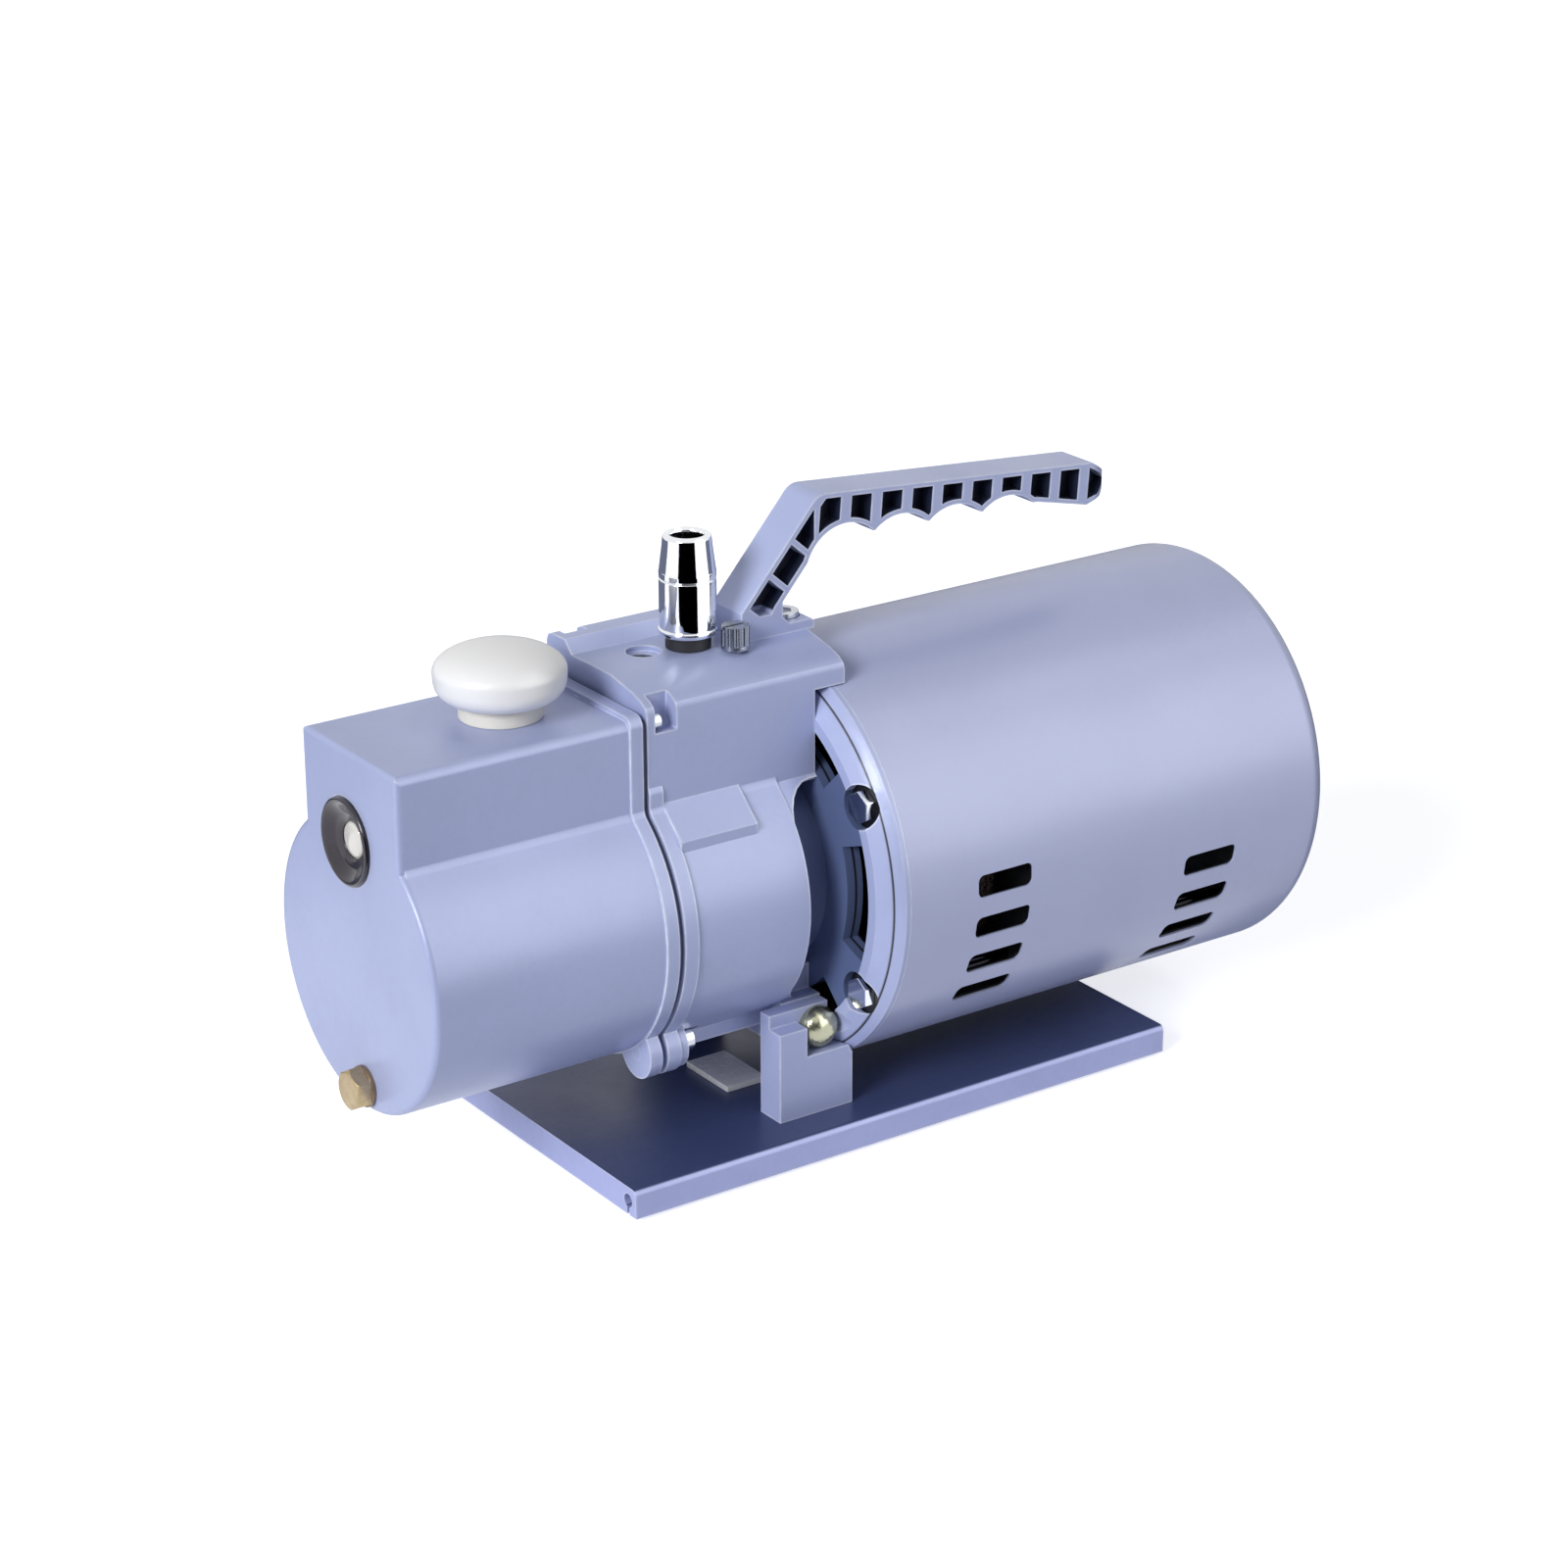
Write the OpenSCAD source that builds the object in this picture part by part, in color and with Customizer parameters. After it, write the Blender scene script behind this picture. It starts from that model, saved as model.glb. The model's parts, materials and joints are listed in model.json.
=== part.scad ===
// Direct-drive oil-sealed rotary vane vacuum pump on a base plate.
// All shapes are drawn from the shaft axis: x runs from the oil case's end face towards the motor,
// y across and z up. place() moves them so that the part stands on z = 0 over its centre.

/* [Oil case] */
// Length of the oil case along the shaft
case_len = 85; // [80:1:100]
// Radius of the round oil case and pump housing
body_r = 47.5; // [46.5:0.5:50]
// How far the round bodies' centre lies below the shaft
body_drop = 1.5; // [0.5:0.5:3]
// Width of the flat-sided boxes above the round bodies
box_w = 57; // [54:1:62]
// How far the oil case's flat top lies below the motor's top
case_drop = 2; // [0:1:4]
// Wall of the oil case
case_wall = 4; // [3:0.5:4.5]
// Hollow fillet between a round body and its box
box_fillet = 5; // [3:1:8]
// Rounding of the boxes' long upper edges
box_round = 3; // [2:0.5:3.5]
// How far the joint flanges stand out
flange_lip = 0.8; // [0.4:0.2:1.2]
// Thickness of the oil case's joint flange
case_flange = 4.5; // [3:0.5:6]
// Thickness of the joint gasket
gasket_t = 2; // [1:0.5:3]
// Radius of the flange ears
ear_r = 8.5; // [7.5:0.5:9]
// Distance of the ear screws from the round bodies' centre
ear_reach = 49.5; // [49:0.5:51]
// Angle of the ear screws below the horizontal
ear_angle = 54; // [50:1:58]

/* [Sight glass and drain] */
// Outer diameter of the sight glass bezel
glass_d = 28; // [26:1:30]
// Diameter of the clear window
glass_clear = 19; // [16:1:20]
// Height of the sight glass above the shaft
glass_z = 37.5; // [36:0.5:39]
// Sideways place of the sight glass
glass_y = 2.5; // [-3:0.5:3]
// Width across flats of the drain plug
drain_flats = 12; // [11:0.5:13]
// How far the drain plug stands out of its washer
drain_out = 5; // [4:0.5:6]
// Depth of the drain plug below the shaft
drain_z = 41; // [40:0.5:41.5]
// Sideways place of the drain plug
drain_y = -2.5; // [-6:0.5:0]

/* [Exhaust] */
// Place of the exhaust port along the shaft
exhaust_x = 53; // [50:1:56]
// Diameter of the exhaust port's collar
collar_d = 26; // [24:1:28]
// Height of the collar over the case top
collar_h = 6; // [4:1:8]
// Diameter of the exhaust cap
cap_d = 41; // [38:1:44]
// Height of the exhaust cap
cap_h = 17; // [14:1:20]
// How far the exhaust cap lifts off
cap_lift = 16; // [12:1:20]

/* [Pump housing] */
// Length of the round housing body
housing_len = 47; // [46:1:52]
// Thickness of the housing's joint flange
housing_flange = 5; // [4:0.5:6]
// Length of the open bracket between housing body and motor shield
neck_len = 15; // [14:1:18]
// Radius of the neck inside the bracket
neck_r = 35; // [34:0.5:36]
// How far the top pad stands over the motor's top
pad_rise = 6.4; // [5.8:0.2:7.6]
// How far the pad's near shoulder drops
pad_drop = 4.6; // [3:0.2:5]
// How far the oil gallery rises over the pad on the far side
gallery_rise = 4; // [2:0.5:5]
// Radius of the coupling space in the neck
coupling_bore_r = 28; // [27:0.5:29]
// How far the box reaches over the motor shield
box_overhang = 11.4; // [8:0.2:12]
// Half width of the housing's bottom ledge
ledge_half = 25; // [22:1:27]
// Depth of the ledge's underside below the shaft
ledge_z = 46.5; // [46:0.5:48]

/* [Inlet and gas ballast] */
// Place of the hose nipple behind the joint face of the housing
nipple_back = 34; // [33:0.5:35]
// Outer diameter of the hose nipple
nipple_d = 18; // [17:0.5:18.5]
// Bore of the hose nipple
nipple_bore = 10; // [8:0.5:11]
// Length of the nipple's full-size barrel
nipple_barrel = 18; // [14:1:22]
// Length of the nipple's tapered tip
nipple_tip = 12.5; // [10:0.5:14]
// Diameter of the nipple's tapered tip
nipple_tip_d = 14; // [13:0.5:15]
// Diameter of the black seal under the nipple
neck_seal_d = 14.4; // [14:0.2:15]
// Height of the black seal under the nipple
neck_seal_h = 4.6; // [4:0.2:6]
// Diameter of the gas ballast knob
ballast_d = 9; // [8:0.5:9.5]

/* [Handle] */
// Width of the handle
handle_w = 16; // [14:1:18]
// Height of the grip's front corner above the pad
handle_h = 43.2; // [42:0.2:46]
// Angle of the stem above the horizontal
stem_angle = 49; // [46:1:52]
// Thickness of the stem
stem_t = 11; // [10:0.5:12]
// Length of the grip
grip_len = 119; // [112:1:124]
// Depth of the grip between its finger hollows
grip_t = 14.2; // [13:0.2:15]
// Downward tilt of the grip
grip_tilt = 4.5; // [3:0.5:6]
// How much the grip's underside closes towards the nose
grip_taper = 2.3; // [1:0.1:3]
// Distance between two finger hollows
finger_pitch = 21.4; // [20:0.2:23]
// Radius of a finger hollow
finger_r = 15.5; // [14:0.5:18]
// Thickness of the handle's ribs
rib_t = 4; // [3:0.5:5]
// Thickness of the handle's middle web
web_t = 2.6; // [2:0.2:4]
// Rounding of the corner between stem and grip
corner_round = 6; // [4:0.5:8]
// Thickness of the handle's flanges
flange_t = 1.6; // [1.2:0.2:2.4]
// Thickness of the handle's foot
foot_t = 3.2; // [2.4:0.2:4]

/* [Motor] */
// Radius of the motor cover
motor_r = 69; // [68.5:0.5:71]
// Length of the motor cover
cover_len = 172.5; // [165:0.5:176]
// Wall of the motor cover
cover_wall = 1.5; // [1:0.25:1.75]
// Rounding of the cover's rear edge
cover_round = 7; // [5:1:9]
// Length of the front shield's rim
shield_len = 8; // [7.5:0.5:9]
// Distance of the tie bolts inside the motor's edge
tie_inset = 9; // [8.5:0.5:9.5]
// Angle of the tie bolts above and below the horizontal
tie_angle = 31.5; // [30:0.5:33]
// Length of a cooling slot
slot_len = 21.5; // [18:0.5:22]
// Width of a cooling slot
slot_w = 7.5; // [6:0.5:8]
// Angle between two cooling slots
slot_step = 12; // [11:0.5:13]
// Length of the stator core
stator_len = 59; // [56:1:60]
// Depth of the stator core from its rim to its bore
stator_depth = 34.8; // [34:0.2:36]
// Air gap between stator and rotor
air_gap = 0.4; // [0.3:0.05:0.6]

/* [Pump works] */
// Radius of the pump rotor
rotor_r = 22; // [21:0.5:22.5]
// Offset of the cylinder bore below the shaft
rotor_offset = 4; // [3.5:0.1:4.5]
// Length of the cylinder
cylinder_len = 34; // [30:1:36]
// Outer radius of the cylinder and its plates
cylinder_r = 36; // [35.5:0.5:37]
// Thickness of the front plate
front_plate_t = 10; // [9:1:12]
// Thickness of the rear plate
rear_plate_t = 14; // [13:1:15]
// Thickness of a vane
vane_t = 6; // [5:0.5:7]
// Radial depth of a vane
vane_depth = 16; // [15:0.5:17]
// Shaft diameter in the pump
shaft_d = 15; // [14.5:0.1:15.2]
// Outer diameter of the shaft bearings
bearing_d = 35; // [34:0.5:36]
// Width of the shaft bearings
bearing_w = 11; // [10:0.5:12]

/* [Base] */
// Gap between the base plate and the motor
motor_gap = 5; // [4:0.5:8]
// Length of the base plate
base_len = 210; // [200:1:220]
// Width of the base plate
base_w = 110; // [104:1:120]
// Thickness of the base plate
base_t = 9.5; // [9:0.5:10]
// How far the feet stand below the plate
foot_out = 1.5; // [1:0.25:2]
// Distance of the plate's front end from the oil case's end face
base_front = 63; // [56:1:70]
// Half the distance between the foot blocks
block_gap_half = 31; // [30:0.5:32]
// Thickness of a foot block
block_t = 11; // [10:0.5:12]

/* [Fits] */
// Running clearance at journals and bearings, on the radius
fit = 0.04; // [0.02:0.01:0.08]
// Clearance where one fixed piece lies in another
slip = 0.06; // [0.04:0.01:0.1]
// Free gap between pieces that must not touch
free_gap = 0.4; // [0.3:0.05:0.6]

/* [Hidden] */
$fn = 64;
eps = 0.01;

// Places along the shaft
x_gasket = case_len;
x_housing = x_gasket + gasket_t;
x_neck = x_housing + housing_len;
x_shield = x_neck + neck_len;
x_cover = x_shield + shield_len;
x_rear = x_cover + cover_len;
x_cylinder_end = x_housing - rear_plate_t;
x_cylinder = x_cylinder_end - cylinder_len;
x_front_plate = x_cylinder - front_plate_t;
x_nipple = x_housing + nipple_back;
washer_t = 1.5;
x_front_tip = -drain_out - washer_t;
gland_out = 4;
x_back_tip = x_rear + gland_out;

// Places across and up
box_half = box_w / 2;
body_z = -body_drop;
case_top = motor_r - case_drop;
pad_z = motor_r + pad_rise;
tie_circle_r = motor_r - tie_inset;
axis_h = motor_r + motor_gap + base_t + foot_out;
plate_bottom = -axis_h + foot_out;
plate_top = plate_bottom + base_t;

// Moves what is drawn from the shaft axis to its place over the centre of the base.
module place() translate([-(x_back_tip + x_front_tip) / 2, 0, axis_h]) children();

// A rod along the shaft direction, from x to x + len.
module rod_x(x, len, r, y = 0, z = 0) {
    translate([x, y, z]) rotate([0, 90, 0]) cylinder(h = len, r = r);
}

// A profile drawn in the YZ plane, swept from x to x + len.
module sweep_x(x, len) {
    translate([x, 0, 0]) rotate([90, 0, 90]) linear_extrude(len) children();
}

// A profile drawn in the XZ plane, swept across from -w / 2 to w / 2.
module sweep_y(w, y = 0) {
    translate([0, y + w / 2, 0]) rotate([90, 0, 0]) linear_extrude(w) children();
}

// A socket-head screw along +X: the head starts at x and the shank follows.
module socket_screw(x, y, z, d, shank, head_h) {
    socket_r = d * 0.45;
    difference() {
        union() {
            rod_x(x, head_h, d * 0.8, y, z);
            rod_x(x + head_h - eps, shank, d / 2, y, z);
        }
        translate([x - eps, y, z]) rotate([0, 90, 0]) cylinder(h = head_h * 0.6, r = socket_r, $fn = 6);
    }
}

// Turns children about a line along the shaft direction at the round bodies' centre.
module at_ears(sides = [-1, 1]) {
    for (side = sides)
        translate([0, side * ear_reach * cos(ear_angle), body_z - ear_reach * sin(ear_angle)])
            children();
}

fillet_bite = 0.04;

// Outline of a round body with a flat-sided box on top. It is drawn in the YZ plane.
// inset moves every face inwards by the same distance.
module body_outline(top, inset = 0) {
    r = body_r - inset;
    half = box_half - inset;
    fillet = box_fillet + inset;
    // The fillet's circle bites a little into both faces, so it crosses them cleanly.
    fillet_y = half + fillet - fillet_bite;
    fillet_z = body_z + sqrt(pow(r + fillet - fillet_bite, 2) - pow(fillet_y, 2));
    touch = (r - 0.5) / (r + fillet);
    corner_r = max(box_round - inset, 0.5);
    roof = top - inset;
    translate([0, body_z]) circle(r = r, $fn = 128);
    translate([-half, body_z]) square([2 * half, roof - corner_r - body_z]);
    translate([-half + corner_r, body_z]) square([2 * (half - corner_r), roof - body_z]);
    for (side = [-1, 1])
        translate([side * (half - corner_r), roof - corner_r]) circle(r = corner_r);
    for (side = [-1, 1]) difference() {
        polygon([
            [side * (half - 1), body_z],
            [side * fillet_y * touch, body_z + (fillet_z - body_z) * touch],
            [side * fillet_y, fillet_z],
            [side * half, fillet_z],
            [side * (half - 1), fillet_z]
        ]);
        translate([side * fillet_y, fillet_z]) circle(r = fillet);
    }
}

// Ears of a joint flange, from the round body out to their rounded ends.
module ear_outline() {
    for (side = [-1, 1])
        translate([0, body_z]) rotate(side > 0 ? -ear_angle : 180 + ear_angle) {
            translate([body_r - 12, -ear_r]) square([ear_reach - body_r + 12, 2 * ear_r]);
            translate([ear_reach, 0]) circle(r = ear_r);
        }
}

// Oil case
corner_screw_d = 3;
ear_screw_d = 5;
corner_y = box_half - 3.2;
corner_z = case_top - 2.6;
case_round = 2;
boss_depth = 5;
ear_step = 0.6;
ear_floor = 0.4;

// The case's outer form: the box and the round body, with rounded front edges.
module case_form() {
    intersection() {
        sweep_x(0, case_len) body_outline(case_top);
        union() {
            turned_body_front();
            box_front();
        }
    }
    sweep_x(case_len - case_flange, case_flange) {
        body_outline(case_top + flange_lip, -flange_lip);
        ear_outline();
    }
}

// A drum with a rounded front edge that keeps the round body's edge soft.
module turned_body_front() {
    translate([0, 0, body_z]) rotate([90, 0, 90]) rotate_extrude($fn = 128) {
        translate([0, case_round]) square([body_r + 30, case_len]);
        square([body_r - case_round, case_len]);
        translate([body_r - case_round, case_round]) circle(r = case_round);
    }
}

// A block with a rounded front edge along its top and sides.
module box_front() {
    front_r = case_round;
    intersection() {
        union() {
            translate([front_r, -box_half, body_z]) cube([case_len, box_w, case_top - body_z]);
            translate([0, -box_half, body_z])
                cube([case_len, box_w, case_top - body_z - front_r]);
            translate([front_r, 0, case_top - front_r]) rotate([90, 0, 0])
                cylinder(h = box_w, r = front_r, center = true);
        }
        union() {
            translate([front_r, -box_half, body_z]) cube([case_len, box_w, case_top - body_z]);
            translate([0, -box_half + front_r, body_z])
                cube([case_len, box_w - 2 * front_r, case_top - body_z]);
            for (side = [-1, 1])
                translate([front_r, side * (box_half - front_r), body_z])
                    cylinder(h = case_top - body_z, r = front_r);
        }
    }
}

glass_shelf = 1.5;
glass_hole_r = glass_d / 2 - 2.5;
glass_boss_r = glass_d / 2 + 1.5;
drain_thread_r = 3.6;
port_thread_r = 9;

module oil_case() color("silver") place() difference() {
    union() {
        difference() {
            case_form();
            sweep_x(case_wall, case_len) body_outline(case_top, case_wall);
        }
        intersection() {
            union() {
                rod_x(case_wall - eps, boss_depth, glass_boss_r, glass_y, glass_z);
                rod_x(case_wall - eps, boss_depth, drain_thread_r + 4, drain_y, -drain_z);
                for (side = [-1, 1])
                    rod_x(case_len - 14, 14, corner_screw_d / 2 + 2.6, side * corner_y, corner_z - 0.6);
            }
            sweep_x(1, case_len - 1) body_outline(case_top, 1);
        }
    }
    // Seat of the sight glass, its opening and the drain thread
    rod_x(-1, 1 + glass_shelf, glass_d / 2 + slip, glass_y, glass_z);
    rod_x(-1, case_wall + boss_depth + 2, glass_hole_r + slip, glass_y, glass_z);
    rod_x(-1, case_wall + boss_depth + 2, drain_thread_r + slip, drain_y, -drain_z);
    // Thread of the exhaust port
    translate([exhaust_x, 0, case_top - case_wall - 1])
        cylinder(h = case_wall + 2, r = port_thread_r + slip);
    // Threads of the joint screws
    for (side = [-1, 1])
        rod_x(case_len - 12, 13, corner_screw_d / 2 + slip, side * corner_y, corner_z);
    at_ears() rod_x(case_len - case_flange + ear_floor, case_flange, ear_screw_d / 2 + slip);
}

gasket_pad = 3;

module case_gasket() color("dimgray") place() difference() {
    union() {
        difference() {
            sweep_x(x_gasket, gasket_t) body_outline(case_top, flange_lip);
            sweep_x(x_gasket - 1, gasket_t + 2) body_outline(case_top, case_wall);
        }
        for (side = [-1, 1])
            translate([x_gasket, side * (corner_y - gasket_pad) - gasket_pad, corner_z - 2 * gasket_pad])
                cube([gasket_t, 2 * gasket_pad, 2 * gasket_pad]);
    }
    for (side = [-1, 1])
        rod_x(x_gasket - 1, gasket_t + 2, corner_screw_d / 2 + slip, side * corner_y, corner_z);
}

// Screws go in from the housing side, so their heads lie behind its flange.
module case_screws() color("silver") place() {
    for (side = [-1, 1])
        translate([x_housing + corner_seat + corner_screw_d, side * corner_y, corner_z]) mirror([1, 0, 0])
            socket_screw(0, 0, 0, corner_screw_d, gasket_t + corner_seat + 9, corner_screw_d);
    at_ears() translate([x_housing + ear_len + ear_screw_d, 0, 0]) mirror([1, 0, 0])
        socket_screw(0, 0, 0, ear_screw_d, gasket_t + ear_len + case_flange - 2 * ear_floor, ear_screw_d);
}

// Sight glass: a stepped bezel holds the lens against a seal.
lens_t = 3;
seal_ring_t = 1.2;
x_lens = 1;

module sight_glass_bezel() color("black") place() difference() {
    union() {
        rod_x(-1.5, 1.5 + glass_shelf, glass_d / 2, glass_y, glass_z);
        rod_x(glass_shelf - eps, case_wall + boss_depth - glass_shelf, glass_hole_r, glass_y, glass_z);
    }
    rod_x(-3, 3 + x_lens, glass_clear / 2, glass_y, glass_z);
    rod_x(x_lens, lens_t + seal_ring_t, glass_clear / 2 + 0.9, glass_y, glass_z);
    rod_x(x_lens, case_wall + boss_depth + 2, glass_clear / 2 - 0.6, glass_y, glass_z);
}

module sight_glass_lens() color("lightblue", 0.6) place() {
    rod_x(x_lens, lens_t, glass_clear / 2 + 0.9 - slip, glass_y, glass_z);
}

module sight_glass_seal() color("dimgray") place() difference() {
    rod_x(x_lens + lens_t, seal_ring_t, glass_clear / 2 + 0.9 - slip, glass_y, glass_z);
    rod_x(x_lens + lens_t - 1, seal_ring_t + 2, glass_clear / 2 - 0.6, glass_y, glass_z);
}

// Drain plug with a chamfered hexagon and a thread in the case
module drain_plug() color("goldenrod") place() translate([0, drain_y, -drain_z]) {
    intersection() {
        translate([x_front_tip, 0, 0]) rotate([0, 90, 0])
            cylinder(h = drain_out, r = drain_flats / 2 / cos(30), $fn = 6);
        rotate([90, 0, 90]) rotate_extrude() polygon([
            [0, x_front_tip],
            [drain_flats / 2 - 0.4, x_front_tip],
            [drain_flats / 2 + 1.2, x_front_tip + 1],
            [drain_flats / 2 + 1.2, -washer_t],
            [0, -washer_t]
        ]);
    }
    rod_x(-washer_t - eps, washer_t + case_wall + boss_depth, drain_thread_r);
}

module drain_washer() color("peru") place() difference() {
    rod_x(-washer_t, washer_t, drain_flats / 2 + 0.6, drain_y, -drain_z);
    rod_x(-washer_t - 1, washer_t + 2, drain_thread_r + slip, drain_y, -drain_z);
}

// Exhaust port: a collar with a thread, an open bore and a stem seat for the cap
port_bore_r = 6.5;
cap_wall = 2.2;
cap_slot_w = 3;
cap_slot_h = 5;
z_collar = case_top + collar_h;

module exhaust_port() color("ivory") place() translate([exhaust_x, 0, 0]) difference() {
    union() {
        translate([0, 0, case_top - case_wall - 6]) cylinder(h = case_wall + 6 + eps, r = port_thread_r);
        translate([0, 0, case_top]) cylinder(h = collar_h, r = collar_d / 2);
        translate([0, 0, z_collar - eps]) cylinder(h = 5, r = port_thread_r);
    }
    translate([0, 0, case_top - case_wall - 8]) cylinder(h = case_wall + collar_h + 20, r = port_bore_r);
}

// Mushroom cap: a domed shell on a slotted socket that slips over the port's spigot
cap_dome_part = 0.42;

module exhaust_cap() color("white") place() translate([exhaust_x, 0, z_collar]) {
    dome_r = cap_d / 2;
    dome_h = cap_h * cap_dome_part;
    side_h = cap_h - dome_h;
    difference() {
        rotate_extrude($fn = 96) {
            square([dome_r, side_h]);
            translate([0, side_h - eps]) polygon([
                for (a = [0:10:90]) [dome_r * cos(a), dome_h * sin(a)],
                [0, 0]
            ]);
        }
        translate([0, 0, -1]) cylinder(h = 1 + side_h, r = dome_r - cap_wall);
    }
    difference() {
        cylinder(h = side_h + 1, r = port_thread_r + 2);
        translate([0, 0, -1]) cylinder(h = side_h - 0.5, r = port_thread_r + free_gap);
        for (a = [0:60:120]) rotate(a)
            translate([-15, -cap_slot_w / 2, -1]) cube([30, cap_slot_w, cap_slot_h]);
    }
}

module exhaust_filter() color("gray") place() translate([exhaust_x, 0, case_top - case_wall - 5])
    cylinder(h = 9, r = port_bore_r - slip);

// Pump housing
corner_seat = 3;
corner_notch = 7.8;
corner_notch_r = corner_screw_d * 0.8 + 0.4;
ear_len = 8;
ear_seat_len = 8;
seal_w = 7;
web_behind_bearing = 2;
x_bearing = x_housing + web_behind_bearing;
x_seal = x_bearing + bearing_w + 1;
x_cavity = x_seal + seal_w;
bearing_r = bearing_d / 2;
shaft_r = shaft_d / 2;
lip_r = motor_r + 0.5;
crossbar_top = 38.5;
crossbar_bottom = 54;
window_top = 35;
window_bottom = 40;
window_r = 12;
inlet_r = 5;
inlet_z = 39;
side_pad_x = 5;
side_pad_len = 28;
rib_in = 14;

// Upper outline of the housing: near shoulder, flat pad and the gallery on the far side
module pad_outline() {
    polygon([
        [-box_half, body_z],
        [-box_half, pad_z - pad_drop - box_round],
        [-box_half + box_round * 0.3, pad_z - pad_drop - box_round * 0.3],
        [-box_half + box_round, pad_z - pad_drop + box_round * 0.2],
        [-box_half + 8, pad_z - pad_drop / 2],
        [-box_half + 20, pad_z],
        [rib_in, pad_z],
        [rib_in + 4, pad_z + gallery_rise],
        [box_half - box_round, pad_z + gallery_rise],
        [box_half - box_round * 0.3, pad_z + gallery_rise - box_round * 0.3],
        [box_half, pad_z + gallery_rise - box_round],
        [box_half, body_z]
    ]);
}

// Flat facet that blends the box into the round body, with a step along its lower edge
module side_pad(side) {
    sweep_x(x_housing + side_pad_x, side_pad_len) polygon([
        [side * (box_half - 2), window_top + 3.5],
        [side * box_half, window_top + 3.5],
        [side * (body_r - 8.5), window_top - 6],
        [side * (body_r - 8.5), window_top - 9.5],
        [side * (box_half - 2), window_top - 9.5]
    ]);
}

// Webs that bridge the bracket above and below its side windows, with rounded window corners
module bracket_webs() {
    intersection() {
        rod_x(x_neck - 1, neck_len + 1, body_r - 0.5, 0, body_z);
        sweep_y(3 * body_r) {
            window_web(window_top, 1);
            window_web(window_bottom, -1);
        }
    }
}

// Outline of one web: it starts at the housing body and curves into the window's straight edge.
module window_web(edge, side) {
    polygon(concat(
        [for (a = [180:-15:90])
            [x_neck + window_r * (1 + cos(a)), side * (edge - window_r + window_r * sin(a))]],
        [[x_shield, side * edge], [x_shield, side * body_r * 1.2]],
        [[x_neck - 1, side * body_r * 1.2], [x_neck - 1, side * (edge - window_r)]]
    ));
}

module pump_housing() color("lightsteelblue") place() difference() {
    union() {
        // Round body, joint flange and upper box
        sweep_x(x_housing, housing_len) body_outline(window_top + 10);
        sweep_x(x_housing, housing_flange) {
            body_outline(window_top + 10, -flange_lip);
            ear_outline();
        }
        sweep_x(x_housing, housing_len + neck_len + box_overhang) intersection() {
            pad_outline();
            translate([-box_half, window_top - 1]) square([box_w, 100]);
        }
        at_ears() rod_x(x_housing + 1, ear_len - 1, ear_r - ear_step);
        side_pad(-1);
        side_pad(1);
        // Neck and bracket up to the motor shield
        rod_x(x_neck - eps, neck_len + eps, neck_r);
        bracket_webs();
        // Ledge under the body and crossbar for the foot blocks
        translate([x_housing + 9, -ledge_half, -ledge_z])
            cube([housing_len - 13, 2 * ledge_half, ledge_z - 20]);
        translate([x_neck, -block_gap_half, -crossbar_bottom])
            cube([neck_len, 2 * block_gap_half, crossbar_bottom - crossbar_top]);
        translate([x_neck - 4, -ledge_half, -ledge_z])
            cube([neck_len + 4, 2 * ledge_half, ledge_z - 30]);
    }
    // Room for the motor shield under the overhanging lip
    rod_x(x_shield, 100, lip_r);
    // Bearing seat, seal seat and coupling space
    rod_x(x_housing - 1, web_behind_bearing + 2, shaft_r + 1);
    rod_x(x_bearing, x_cavity - x_bearing + eps, bearing_r + slip);
    rod_x(x_cavity, x_shield - x_cavity + 1, coupling_bore_r);
    // Inlet passage: down from the nipple, then forward to the rear plate
    translate([x_nipple, 0, inlet_z]) cylinder(h = pad_z, r = inlet_r);
    rod_x(x_housing - 1, nipple_back + 1 + inlet_r, inlet_r * 0.8, 0, inlet_z);
    translate([x_nipple, 0, pad_z - nipple_thread]) cylinder(h = 50, r = nipple_thread_r + slip);
    // Gas ballast drilling and the channel plug's recess
    translate([x_ballast, ballast_y, pad_z - ballast_depth]) cylinder(h = 60, r = ballast_stem_r + fit);
    translate([x_plug, plug_y, pad_z - plug_depth]) cylinder(h = 60, r = plug_r + slip);
    translate([x_plug, plug_y, pad_z - 2]) cylinder(h = 60, r = plug_r + 1.6);
    // Corner reliefs, screw holes and threads
    for (side = [-1, 1]) {
        rod_x(x_housing - 1, corner_seat + 2, corner_screw_d / 2 + slip, side * corner_y, corner_z);
        rod_x(x_housing + corner_seat, corner_notch, corner_notch_r, side * corner_y, corner_z);
        translate([
            x_housing + corner_seat,
            side > 0 ? corner_y - corner_notch_r : -corner_y - 20,
            corner_z
        ]) cube([corner_notch, 20 + corner_notch_r, 60]);
        translate([
            x_housing + corner_seat,
            side > 0 ? corner_y : -corner_y - 20,
            corner_z - corner_notch_r
        ]) cube([corner_notch, 20, corner_notch_r]);
    }
    at_ears() {
        rod_x(x_housing - 1, ear_len + 2, ear_screw_d / 2 + slip);
        rod_x(x_housing + ear_len, ear_seat_len, ear_screw_d * 0.8 + 0.5);
    }
    for (p = cylinder_screw_places) rod_x(x_housing - 1, 11, cylinder_screw_r + slip, p[0], p[1]);
    for (a = bracket_screw_angles)
        rod_x(x_shield - 12, 13, bracket_screw_r + slip,
            bracket_circle_r * cos(a), bracket_circle_r * sin(a));
    for (side = [-1, 1])
        translate([x_foot_bolt, side * (block_gap_half + 1), foot_bolt_z]) rotate([side * 90, 0, 0])
            cylinder(h = 17, r = foot_bolt_r + slip);
    translate([x_handle_bolt, 0, lip_r - 1]) cylinder(h = 20, r = handle_bolt_r + slip);
}

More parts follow.
